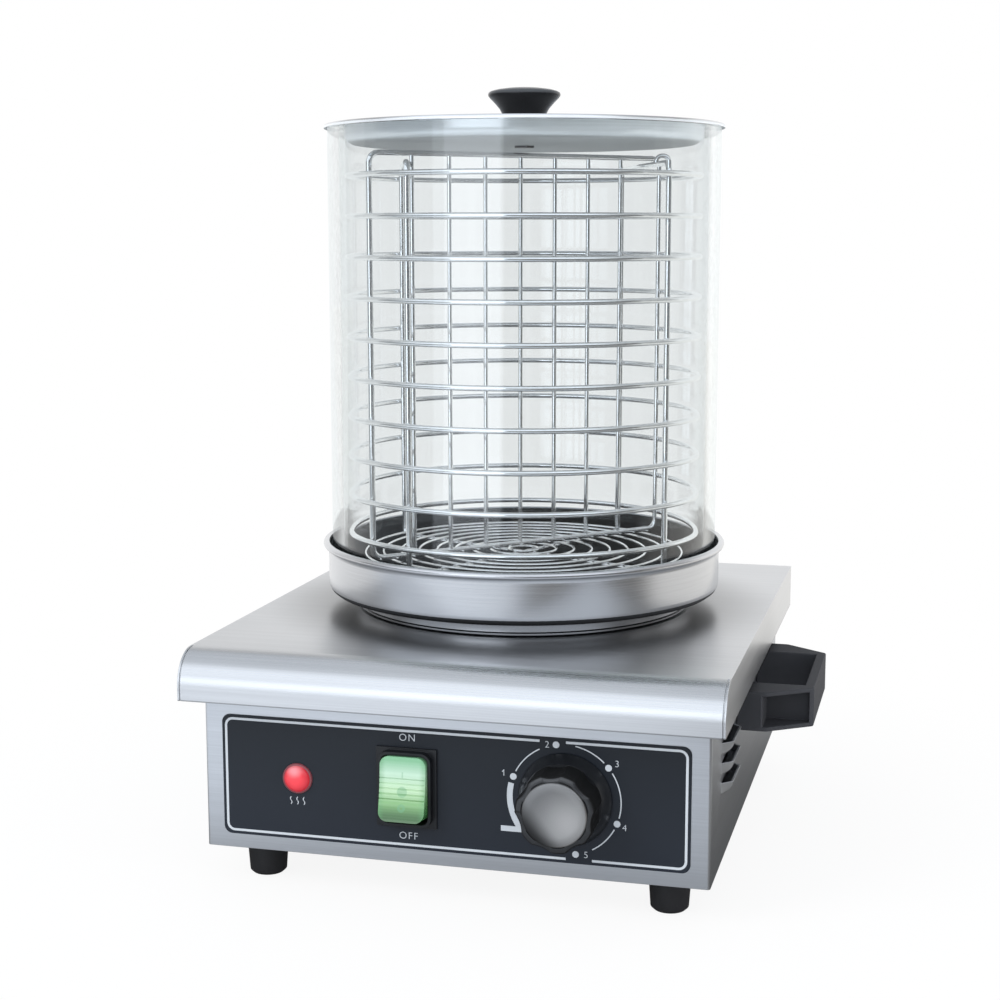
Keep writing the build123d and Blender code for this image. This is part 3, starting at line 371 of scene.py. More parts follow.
@dataclass(frozen=True)
class SpunMetal(Finish):
    """Metal turned about the tube's axis, its grain running round it."""

    axis_y: float
    colour: Colour
    roughness: float
    contrast: float
    fine: float = 1500.0
    depth: float = 0.00001

    def grain(self, tree: Tree) -> tuple[Value, Value, Value]:
        """Read the grain of the metal.

        Args:
            tree: tree that is being written.

        Returns:
            The grain, the distance from the axis and the height of a place.
        """
        x, y, z = tree.axes()
        other = y - self.axis_y
        radius = x.reach(other)
        at = tree.joined(x * 16 + radius * self.fine, other * 16, z * self.fine)
        return tree.noise(at, detail=3.0), radius, z

    def metal(
        self, tree: Tree, grain: Value, painted_shade: Optional[Value] = None, painted_shade_colour: Colour = BLACK
    ) -> tuple[Socket, Socket]:
        """Write the bare metal, darkened by painted shade where a mask is given.

        Args:
            tree: tree that is being written.
            grain: its grain.
            painted_shade: mask of the painted shade.
            painted_shade_colour: colour of the painted shade.

        Returns:
            The shader and its relief.
        """
        colour = tree.scaled(self.colour, 1 + (grain - 0.5) * self.contrast)
        if painted_shade:
            colour = tree.blend(painted_shade, colour, painted_shade_colour)
        bump = tree.relief(grain, self.depth)
        rough = self.roughness + (grain - 0.5) * 0.12
        return tree.surface(Base_Color=colour, Metallic=1.0, Roughness=rough, Normal=bump), bump


@dataclass(frozen=True, kw_only=True)
class TraySteel(SpunMetal):
    """Spun steel of the tray, with painted shade: dark and mostly matt inside its wall and its well, dark on
    its underside and foot.
    """

    shade_radius: float
    shade_above: float
    well_radius: float
    well_level: float
    foot_level: float
    shade_share: float = 0.85

    def shader(self, tree: Tree) -> Socket:
        """Write the steel and its painted shade.

        Args:
            tree: tree that takes the nodes.

        Returns:
            The shader.
        """
        grain, radius, z = self.grain(tree)
        # Painted shade: the steel darkens inside its wall and its well, on its downward faces below the ledge
        # and at its foot; inside, a dark matt surface mostly takes over.
        well = (radius < self.well_radius) * (z > self.well_level)
        shade_zone = ((radius < self.shade_radius) * (z > self.shade_above)).most(well)
        below = (0 - tree.normal()[2]).between(0.7, 0.95)
        shaded = (below * (z < self.shade_above)).most(z < self.foot_level)
        metal, bump = self.metal(tree, grain, shade_zone.most(shaded), (0.03, 0.03, 0.032))
        scale = tree.surface(
            Base_Color=(0.022, 0.023, 0.025), Roughness=0.5, Normal=bump, Specular_IOR_Level=0.25
        )
        return tree.mixed(shade_zone * self.shade_share, metal, scale)


@dataclass(frozen=True, kw_only=True)
class LidSteel(SpunMetal):
    """Spun steel of the lid; its underside is mostly matt, with painted light where it faces down and painted
    shade on its steeper faces.
    """

    under_level: float

    def shader(self, tree: Tree) -> Socket:
        """Write the steel and the painted light and shade of its underside.

        Args:
            tree: tree that takes the nodes.

        Returns:
            The shader.
        """
        grain, _, z = self.grain(tree)
        metal, bump = self.metal(tree, grain)
        down = 0 - tree.normal()[2]
        # Painted light and shade on the underside: pale where it faces down, grey where it turns aside.
        plain = tree.blend(down.between(0.6, 0.95), (0.90, 0.94, 0.97), (0.42, 0.43, 0.43))
        plain = tree.blend(grain * 0.3, plain, (0.16, 0.17, 0.17))
        matt = tree.surface(Base_Color=plain, Roughness=0.7, Normal=bump, Specular_IOR_Level=0.1)
        beneath = (z < self.under_level) * (0.58 + down.between(0.5, 0.9) * 0.3)
        return tree.mixed(beneath, metal, matt)


@dataclass(frozen=True)
class SatinCap(Finish):
    """Satin metal face of the dial, with a painted highlight right of and below its centre and painted shade
    towards its lower left.
    """

    centre: Point
    radius: float

    def shader(self, tree: Tree) -> Socket:
        """Write the satin metal.

        Args:
            tree: tree that takes the nodes.

        Returns:
            The shader.
        """
        across, up = tree.face(self.centre, self.radius)
        fine = tree.noise(tree.joined(across * 30, up * 30, 0.0), detail=3.0)
        # Painted highlight: lighter near a spot right of and below the centre, darker away from it.
        from_highlight = (across - 0.45).reach(up + 0.25) + (fine - 0.5) * 0.10
        colour = tree.blend(from_highlight.between(0.0, 1.3), (0.52, 0.51, 0.50), (0.24, 0.24, 0.24))
        # Painted shade towards the lower left.
        corner = 0 - across * 0.75 - up * 0.65
        colour = tree.blend(corner.between(0.30, 0.95), colour, (0.05, 0.05, 0.05))
        bump = tree.relief(fine, 0.000006)
        rough = 0.42 + (fine - 0.5) * 0.1
        return tree.surface(Base_Color=colour, Metallic=1.0, Roughness=rough, Normal=bump)


@dataclass(frozen=True)
class PlainMetal(Finish):
    """Plated, cast or turned metal with a light unevenness."""

    colour: Colour
    roughness: float
    unevenness: float = 0.04
    scale: float = 400.0
    metal: float = 1.0

    def shader(self, tree: Tree) -> Socket:
        """Write the metal.

        Args:
            tree: tree that takes the nodes.

        Returns:
            The shader.
        """
        spots = tree.noise(tree.place(), self.scale, 3.0)
        colour = tree.blend(spots, tuple(part * 0.86 for part in self.colour), self.colour)
        rough = self.roughness + (spots - 0.5) * self.unevenness
        return tree.surface(Base_Color=colour, Metallic=self.metal, Roughness=rough)


@dataclass(frozen=True)
class Moulding(Finish):
    """Moulded plastic or rubber with a fine surface texture."""

    colour: Colour
    roughness: float
    texture: float = 0.00002
    scale: float = 2200.0
    variation: float = 0.12
    shine: float = 0.5
    upper: Optional[Colour] = None

    def shader(self, tree: Tree) -> Socket:
        """Write the plastic, with a painted highlight on its upper faces where it has an upper colour.

        Args:
            tree: tree that takes the nodes.

        Returns:
            The shader.
        """
        place = tree.place()
        broad = tree.noise(place, 35.0)
        low = tuple(part * (1 - self.variation) for part in self.colour)
        high = tuple(min(part * (1 + self.variation), 1.0) for part in self.colour)
        colour = tree.blend(broad, low, high)
        # Painted highlight: the upper colour on faces that turn upwards.
        if self.upper:
            colour = tree.blend(tree.normal()[2].between(-0.3, 0.5), colour, self.upper)
        rough = self.roughness + (broad - 0.5) * 0.08
        bump = tree.relief(tree.noise(place, self.scale), self.texture)
        return tree.surface(Base_Color=colour, Roughness=rough, Normal=bump, Specular_IOR_Level=self.shine)


@dataclass(frozen=True)
class KnobPlastic(Finish):
    """Black plastic of the dial: satin on its skirt and face; on the fluted wall rough, and darker by painted
    shade.
    """

    centre: Point
    wall_back: float
    wall_front: float
    wall_radius: float

    def shader(self, tree: Tree) -> Socket:
        """Write the plastic.

        Args:
            tree: tree that takes the nodes.

        Returns:
            The shader.
        """
        across, up = tree.face(self.centre)
        y = tree.axes()[1]
        wall = (across.reach(up) > self.wall_radius) * (y < self.wall_back) * (y > self.wall_front)
        fine = tree.noise(tree.place(), 2200.0)
        # Painted shade: the fluted wall's colour is darker.
        return tree.surface(
            Base_Color=tree.blend(wall, (0.008, 0.009, 0.011), (0.001, 0.001, 0.0012)),
            Roughness=0.30 + (fine - 0.5) * 0.06 + wall * 0.45,
            Normal=tree.relief(fine, 0.000004),
            Specular_IOR_Level=0.4,
            Coat_Weight=(1 - wall) * 0.7,
            Coat_Roughness=0.22,
        )


@dataclass(frozen=True)
class ClearGlass(Finish):
    """Clear glass that lets the lamps through to what stands inside it."""

    colour: Colour = (0.922, 0.940, 0.943)
    index: float = 1.47
    edge_clear: float = 0.7

    def shader(self, tree: Tree) -> Socket:
        """Write the glass, with plain transparency for shadows, reflections and its edge.

        Args:
            tree: tree that takes the nodes.

        Returns:
            The shader.
        """
        wear = tree.noise(tree.place(), 60.0) * 0.004
        glass = tree.surface(Base_Color=self.colour, Roughness=wear, IOR=self.index, Transmission_Weight=1.0)
        clear = tree.add("ShaderNodeBsdfTransparent", None, {"Color": self.colour}).outputs[0]
        facing = Value(tree, tree.add("ShaderNodeLayerWeight", None, {"Blend": 0.5}).outputs["Facing"])
        edge = facing.between(0.55, 0.85) * self.edge_clear
        return tree.mixed(tree.rays("Shadow", "Reflection").most(edge), glass, clear)


@dataclass(frozen=True)
class LampRed(Finish):
    """Red lens of the pilot lamp, darker towards its rim, with a painted highlight towards its upper edge."""

    centre: Point
    radius: float

    def shader(self, tree: Tree) -> Socket:
        """Write the red lens.

        Args:
            tree: tree that takes the nodes.

        Returns:
            The shader.
        """
        across, up = tree.face(self.centre, self.radius)
        distance = across.reach(up)
        # Painted highlight: paler towards a spot near its upper edge.
        high = ((across + 0.15) * (across + 0.15) * 0.6 + (up - 0.62) * (up - 0.62)).root()
        pale = 1 - high.between(0.05, 0.62)
        body = tree.blend(distance.between(0.2, 1.0), (0.74, 0.040, 0.056), (0.54, 0.018, 0.032))
        return tree.surface(
            Base_Color=tree.blend(pale * 0.42, body, (0.92, 0.52, 0.55)),
            Roughness=0.28 + distance * 0.1,
            Coat_Weight=0.3,
            Coat_Roughness=0.2,
            Emission_Color=body,
            Emission_Strength=0.12,
        )


@dataclass(frozen=True)
class RockerGreen(Finish):
    """Lit green rocker: pale above its middle, where its glow carries a painted highlight, yellow-green at its
    middle, mid green below.
    """

    centre: Point
    half_height: float
    mark_radius: float = 0.0027
    circle_radius: float = 0.00125
    circle_drop: float = 0.0072
    stroke_rise: float = 0.0078
    stops: tuple[tuple[float, Colour], ...] = (
        (0.0, (0.014, 0.062, 0.014)),
        (0.16, (0.028, 0.105, 0.022)),
        (0.32, (0.12, 0.29, 0.09)),
        (0.54, (0.38, 0.54, 0.35)),
        (0.78, (0.38, 0.54, 0.42)),
        (1.0, (0.15, 0.36, 0.20)),
    )

    def marks(self, across: Value, up: Value) -> Value:
        """Write the mask of the rocker's marks.

        Args:
            across: distance across from its centre.
            up: distance up from its centre.

        Returns:
            The mask of its dot, circle and stroke.
        """
        dot = 1 - across.reach(up).between(self.mark_radius * 0.8, self.mark_radius)
        ring = abs(across.reach(up + self.circle_drop) - self.circle_radius)
        circle = 1 - ring.between(0.0004, 0.0008)
        high = abs(up - self.stroke_rise)
        stroke = (1 - abs(across).between(0.0002, 0.0005)) * (1 - high.between(0.0012, 0.0016))
        return dot * 0.45 + circle * 0.5 + stroke * 0.35

    def shader(self, tree: Tree) -> Socket:
        """Write the lit plastic.

        Args:
            tree: tree that takes the nodes.

        Returns:
            The shader.
        """
        across, up = tree.face(self.centre)
        level = up / (2 * self.half_height) + 0.5
        # The pale stops above the middle are glow with a painted highlight.
        glow = tree.add("ShaderNodeValToRGB", {"stops": self.stops}, {0: level}).outputs[0]
        edge = abs(across).between(self.half_height * 0.5, self.half_height * 0.74)
        rib = abs(tree.noise(tree.joined(0.0, 0.0, up * 420), detail=0.0) - 0.5) * 2
        glow = tree.blend(edge * 0.45, glow, (0.05, 0.22, 0.07))
        glow = tree.blend(rib * 0.12, glow, (0.75, 0.92, 0.70))
        colour = tree.blend(self.marks(across, up), glow, (0.09, 0.27, 0.13))
        return tree.surface(
            Base_Color=colour,
            Roughness=0.22,
            Coat_Weight=0.5,
            Coat_Roughness=0.1,
            Emission_Color=colour,
            Emission_Strength=0.22,
        )


@dataclass(frozen=True)
class LabelFilm(Finish):
    """Charcoal film of the control panel, a shade bluer and lighter towards its foot."""

    low: float
    high: float

    def shader(self, tree: Tree) -> Socket:
        """Write the film.

        Args:
            tree: tree that takes the nodes.

        Returns:
            The shader.
        """
        level = tree.axes()[2].between(self.low, self.high)
        colour = tree.blend(level, (0.013, 0.017, 0.025), (0.008, 0.011, 0.016))
        fine = tree.noise(tree.place(), 3000.0, 1.0)
        rough = 0.42 + (fine - 0.5) * 0.1
        bump = tree.relief(fine, 0.000008)
        return tree.surface(Base_Color=colour, Roughness=rough, Normal=bump, Specular_IOR_Level=0.3)


# ------------------------------ forms
def corners_of(geometry: Iterable[Any]) -> list[bmesh.types.BMVert]:
    """Keep the vertices of what an operator gives back."""
    return [piece for piece in geometry if isinstance(piece, bmesh.types.BMVert)]


def edges_of(geometry: Iterable[Any]) -> list[bmesh.types.BMEdge]:
    """Keep the edges of what an operator gives back."""
    return [piece for piece in geometry if isinstance(piece, bmesh.types.BMEdge)]


class Form:
    """A mesh under construction, in millimetres of the shared frame."""

    def __init__(self) -> None:
        """Start with nothing."""
        self.bm = bmesh.new()

    def move(self, matrix: Matrix, verts: Optional[Sequence[bmesh.types.BMVert]] = None) -> None:
        """Transform some vertices, or all."""
        bmesh.ops.transform(self.bm, matrix=matrix, verts=verts or self.bm.verts[:])

    def face_out(self) -> None:
        """Turn all faces outwards."""
        bmesh.ops.recalc_face_normals(self.bm, faces=self.bm.faces[:])

    def full_turn(self, geometry: list, steps: int) -> None:
        """Spin vertices and edges once about Z."""
        how = {"axis": (0, 0, 1), "cent": (0, 0, 0), "angle": FULL_TURN, "use_merge": True}
        bmesh.ops.spin(self.bm, geom=geometry, steps=steps, **how)

    def turned(self, outline: Sequence[Point], closed: bool = False, steps: int = TURN_STEPS) -> "Form":
        """Spin an outline about Z into an empty form.

        Args:
            outline: (radius, height) points.
            closed: whether the last point joins the first.
            steps: steps of the full turn.

        Returns:
            The form.
        """
        verts = [self.bm.verts.new((radius, 0.0, height)) for radius, height in outline]
        edges = [self.bm.edges.new(pair) for pair in zip(verts, verts[1:])]
        if closed:
            edges.append(self.bm.edges.new((verts[-1], verts[0])))
        self.full_turn(verts + edges, steps)
        bmesh.ops.remove_doubles(self.bm, verts=self.bm.verts[:], dist=0.001)
        self.face_out()
        return self

    def soften(self, width: float, angle: float) -> None:
        """Round the edges that turn by more than an angle.

        Args:
            width: width of the rounding, in millimetres.
            angle: turn in degrees past which an edge is rounded.
        """
        limit = math.radians(angle)
        inner = [edge for edge in self.bm.edges if len(edge.link_faces) == 2]
        sharp = [edge for edge in inner if edge.calc_face_angle(0.0) > limit]
        shape = {"offset_type": "OFFSET", "segments": BEVEL_STEPS, "profile": 0.5, "affect": "EDGES"}
        bmesh.ops.bevel(self.bm, geom=sharp, offset=width, material=-1, clamp_overlap=True, **shape)

    def block(self, low: Sequence[float], high: Sequence[float]) -> list:
        """Add a box between two corners and return its vertices."""
        place, size = Matrix.Translation((Vector(high) + Vector(low)) / 2), Vector(high) - Vector(low)
        return bmesh.ops.create_cube(self.bm, size=1.0, matrix=place @ Matrix.Diagonal((*size, 1.0)))["verts"]

    def ring(self, at: Vector, along: Vector, radius: float, sides: int) -> list:
        """Add the round end of a wire.

        Args:
            at: its centre.
            along: direction of the wire.
            radius: radius of the wire.
            sides: sides of its section.

        Returns:
            Its edges.
        """
        matrix = Matrix.Translation(at) @ along.to_track_quat("Z", "Y").to_matrix().to_4x4()
        made = bmesh.ops.create_circle(self.bm, cap_ends=False, radius=radius, segments=sides, matrix=matrix)
        return list({edge for vert in made["verts"] for edge in vert.link_edges})

    def drawn(self, edges: list, along: Vector) -> list:
        """Extrude the open end of a wire.

        Args:
            edges: edges of the end.
            along: how far it goes.

        Returns:
            The edges of its new end.
        """
        made = bmesh.ops.extrude_edge_only(self.bm, edges=edges)["geom"]
        verts = corners_of(made)
        bmesh.ops.translate(self.bm, verts=verts, vec=along)
        fresh = set(verts)
        return [edge for edge in edges_of(made) if fresh.issuperset(edge.verts)]

    def wire(
        self, points: Sequence[Vector], radius: float, bend: float = 0.0, sides: int = 12, closed: bool = False
    ) -> None:
        """Run a round wire through corner points, bent to a radius at each.

        Args:
            points: corners of the wire's axis.
            radius: radius of the wire.
            bend: radius of its bends.
            sides: sides of its section.
            closed: whether it comes back to its start.
        """
        path = [Vector(point) for point in points]
        if closed:
            start = (path[0] + path[1]) / 2
            path = [start] + path[1:] + [path[0], start]
        heading = (path[1] - path[0]).normalized()
        first = self.ring(path[0], heading, radius, sides)
        edges, at = first, path[0]
        for corner, following in zip(path[1:], path[2:]):
            onward = (following - corner).normalized()
            turn = heading.angle(onward, 0.0)
            cut = bend * math.tan(turn / 2)
            end = corner - heading * cut
            edges = self.drawn(edges, end - at)
            axis = heading.cross(onward).normalized()
            cent, steps = end + axis.cross(heading) * bend, max(3, round(turn * 5))
            made = bmesh.ops.spin(self.bm, geom=edges, axis=axis, cent=cent, angle=turn, steps=steps)
            edges = edges_of(made["geom_last"])
            at, heading = corner + onward * cut, onward
        edges = self.drawn(edges, path[-1] - at)
        if closed:
            verts = {vert for edge in first + edges for vert in edge.verts}
            bmesh.ops.remove_doubles(self.bm, verts=list(verts), dist=0.02)
        else:
            bmesh.ops.edgeloop_fill(self.bm, edges=first)
            bmesh.ops.edgeloop_fill(self.bm, edges=edges)

    def hoop(self, radius: float, height: float, wire: float, steps: int = 120, sides: int = 12) -> None:
        """Add a round wire hoop about Z.

        Args:
            radius: radius of the hoop.
            height: its height.
            wire: radius of the wire.
            steps: steps of the full turn.
            sides: sides of the wire's section.
        """
        edges = self.ring(Vector((radius, 0, height)), Vector((0, 1, 0)), wire, sides)
        self.full_turn(list({vert for edge in edges for vert in edge.verts}) + edges, steps)

    def arc_strip(self, centre: Point, middle: float, half: float, start: float, end: float) -> None:
        """Add a flat arc in the XZ plane.

        Args:
            centre: (x, z) of the arc's centre.
            middle: radius of its middle line.
            half: half of its width.
            start: first angle in degrees.
            end: last angle in degrees.
        """
        angle, turn = math.radians(start), math.radians(end - start)
        (x, z), outer = centre, middle + half
        ends = [
            self.bm.verts.new((x + radius * math.cos(angle), 0.0, z + radius * math.sin(angle)))
            for radius in (middle - half, outer)
        ]
        geometry = ends + [self.bm.edges.new(ends)]
        steps = max(2, round(abs(turn) * outer))
        bmesh.ops.spin(self.bm, geom=geometry, axis=(0, -1, 0), cent=(x, 0.0, z), angle=turn, steps=steps)

    def patch(self, corners: Sequence[Point]) -> None:
        """Add a flat face in the XZ plane from (x, z) corners."""
        self.bm.faces.new([self.bm.verts.new((x, 0.0, z)) for x, z in corners])

    def plate(self, low: Point, high: Point) -> None:
        """Add a flat rectangle in the XZ plane between two corners."""
        self.patch([low, (high[0], low[1]), high, (low[0], high[1])])

    def raise_flat(self, front: float, thickness: float) -> None:
        """Give everything flat in the XZ plane a thickness.

        Args:
            front: Y of its face.
            thickness: how thick it becomes.
        """
        self.face_out()
        made = bmesh.ops.extrude_face_region(self.bm, geom=self.bm.faces[:])["geom"]
        bmesh.ops.translate(self.bm, verts=corners_of(made), vec=(0, thickness, 0))
        bmesh.ops.translate(self.bm, verts=self.bm.verts[:], vec=(0, front, 0))
        self.face_out()

    def taken(self, node: str) -> None:
        """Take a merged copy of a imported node's mesh, in millimetres.

        Args:
            node: name of the node.
        """
        self.bm.from_mesh(bpy.data.objects[node].data)
        bmesh.ops.scale(self.bm, vec=(1 / MM,) * 3, verts=self.bm.verts[:])
        bmesh.ops.remove_doubles(self.bm, verts=self.bm.verts[:], dist=0.002)
        limit = math.radians(1.0)
        bmesh.ops.dissolve_limit(self.bm, angle_limit=limit, verts=self.bm.verts[:], edges=self.bm.edges[:])

    def piece(
        self,
        name: str,
        body: Body,
        slot: str,
        material: Material,
        stands_for: Sequence[str] = (),
        sharp: float = 35.0,
    ) -> bpy.types.Object:
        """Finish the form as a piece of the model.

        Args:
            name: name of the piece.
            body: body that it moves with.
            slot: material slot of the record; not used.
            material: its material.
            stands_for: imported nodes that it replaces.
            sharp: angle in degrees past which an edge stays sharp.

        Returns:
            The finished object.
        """
        bmesh.ops.scale(self.bm, vec=(MM,) * 3, verts=self.bm.verts[:])
        mesh = bpy.data.meshes.new(name)
        self.bm.to_mesh(mesh)
        self.bm.free()
        mesh.shade_smooth()
        mesh.set_sharp_from_angle(angle=math.radians(sharp))
        mesh.materials.append(material)
        made = placed(name, mesh)
        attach(made, body.value)
        if stands_for:
            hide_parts(*stands_for)
        LOG.info("%s: %d faces on %s", name, len(mesh.polygons), body.value)
        return made


def placed(name: str, data: bpy.types.ID) -> bpy.types.Object:
    """Stand some data in the scene as an object.

    Args:
        name: name of the object.
        data: a mesh, curve, lamp or camera.

    Returns:
        The object.
    """
    made = bpy.data.objects.new(name, data)
    bpy.context.scene.collection.objects.link(made)
    return made


def refined(node: str, body: Body, slot: str, material: Material, width: float, angle: float = 35.0) -> None:
    """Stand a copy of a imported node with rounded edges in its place.

    Args:
        node: name of the node.
        body: body that carries it.
        slot: material slot.
        material: its material.
        width: width of the rounding, in millimetres.
        angle: turn in degrees past which an edge is rounded.
    """
    form = Form()
    form.taken(node)
    made = form.piece(node + "_smooth", body, slot, material, (node,), angle)
    bevel = made.modifiers.new("rounded edges", "BEVEL")
    bevel.width = width * MM
    bevel.segments = BEVEL_STEPS
    bevel.limit_method = "ANGLE"
    bevel.angle_limit = math.radians(angle)
    bevel.use_clamp_overlap = True
    bevel.harden_normals = True


def dress(node: str, material: Material) -> None:
    """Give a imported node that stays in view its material.

    Args:
        node: name of the node.
        material: its material.
    """
    target = bpy.data.objects[node]
    for place in target.material_slots:
        place.material = material
    if not target.material_slots:
        target.data.materials.append(material)


# ------------------------------ sheet-metal base
@dataclass
class Base:
    """Folded sheet base with its feet, handles, rear fittings and heater."""

    foot_x: float = 98.9
    foot_y: float = 107.1
    foot_top: float = 18.9
    foot_top_radius: float = 10.1
    foot_bottom_radius: float = 8.9
    stud_radius: float = 2.0
    stud_height: float = 8.0
    edge: float = 0.35
    hem_height: float = 0.6
    # Centre Y, inner and outer radius in metres of the cover's painted shade about the tray.
    shade_ring: tuple[float, float, float] = (0.0117, 0.092, 0.142)

    def sheets(self) -> None:
        """Dress the cover, the housing and the plates."""
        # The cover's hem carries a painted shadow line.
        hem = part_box("top_cover")[0][2] + self.hem_height * MM
        cover = BrushedSheet("cover steel", (0.64, 0.65, 0.665), 0.33, shade_ring=self.shade_ring, hem=hem).material()
        body = BrushedSheet("housing steel", (0.58, 0.60, 0.63), 0.36).material()
        refined("top_cover", Body.BASE, "stainless", cover, self.edge)
        refined("base_housing", Body.BASE, "stainless", body, self.edge)
        refined("rear_panel", Body.BASE, "stainless", body, self.edge)
        refined("bottom_plate", Body.BASE, "stainless", body, self.edge * 0.7)

    def fittings(self) -> None:
        """Dress the screws, the handles and the cable gland."""
        zinc = PlainMetal("bright zinc", (0.70, 0.71, 0.72), 0.22).material()
        handle = Moulding("handle plastic", (0.046, 0.047, 0.052), 0.60, texture=0.00003, shine=0.06)
        plastic = handle.material()
        gland = Moulding("gland plastic", (0.018, 0.018, 0.020), 0.5).material()
        for node in ("rear_screws", "handle_screws"):
            refined(node, Body.BASE, "screw_steel", zinc, 0.3)
        for node in ("handle_right", "handle_left"):
            refined(node, Body.BASE, "black_plastic", plastic, 0.7, angle=20.0)
        refined("cable_gland", Body.BASE, "black_plastic", gland, 0.4)
        dress("gland_nut", gland)

    def feet(self) -> None:
        """Turn the four rubber feet with their studs."""
        low, high, top, stud = self.foot_bottom_radius, self.foot_top_radius, self.foot_top, self.stud_radius
        outline = [(0.0, 0.0), (low - 1.6, 0.0), (low, 1.5), (high, top - 0.4), (high - 0.4, top)]
        outline += [(stud, top), (stud, top + self.stud_height), (0.0, top + self.stud_height)]
        form = Form().turned(outline, steps=48)
        form.soften(0.8, 28.0)
        whole = form.bm.verts[:] + form.bm.edges[:] + form.bm.faces[:]
        first, *others = [(x, y) for x in (-self.foot_x, self.foot_x) for y in (-self.foot_y, self.foot_y)]
        for x, y in others:
            made = bmesh.ops.duplicate(form.bm, geom=whole)["geom"]
            bmesh.ops.translate(form.bm, verts=corners_of(made), vec=(x, y, 0))
        bmesh.ops.translate(form.bm, verts=corners_of(whole), vec=(*first, 0))
        rubber = Moulding("foot rubber", (0.016, 0.016, 0.018), 0.5).material()
        form.piece("rubber_feet", Body.BASE, "rubber", rubber, ("feet",), 60.0)

    def insides(self) -> None:
        """Dress what the housing holds."""
        cast = PlainMetal("cast aluminium", (0.60, 0.61, 0.62), 0.45, 0.1, 250.0)
        sheath = PlainMetal("element sheath", (0.20, 0.19, 0.19), 0.5, 0.12, 300.0)
        zinc = PlainMetal("plated steel", (0.66, 0.67, 0.68), 0.28)
        white = Moulding("natural moulding", (0.72, 0.72, 0.68), 0.5)
        brass = PlainMetal("plain brass", (0.72, 0.52, 0.24), 0.28)
        dressed = {
            cast: ("heater_plate",),
            # The lid screw takes the dark sheath metal as painted shade.
            sheath: ("heating_element", "lid_screw"),
            zinc: ("heater_bracket", "heater_nut", "thermostat_shaft"),
            white: ("thermostat_body", "pilot_body", "terminal_block"),
            brass: ("earth_stud", "switch_terminals"),
        }
        for finish, nodes in dressed.items():
            material = finish.material()
            for node in nodes:
                dress(node, material)

    def build(self) -> None:
        """Make every piece of the base."""
        self.sheets()
        self.fittings()
        self.feet()
        self.insides()


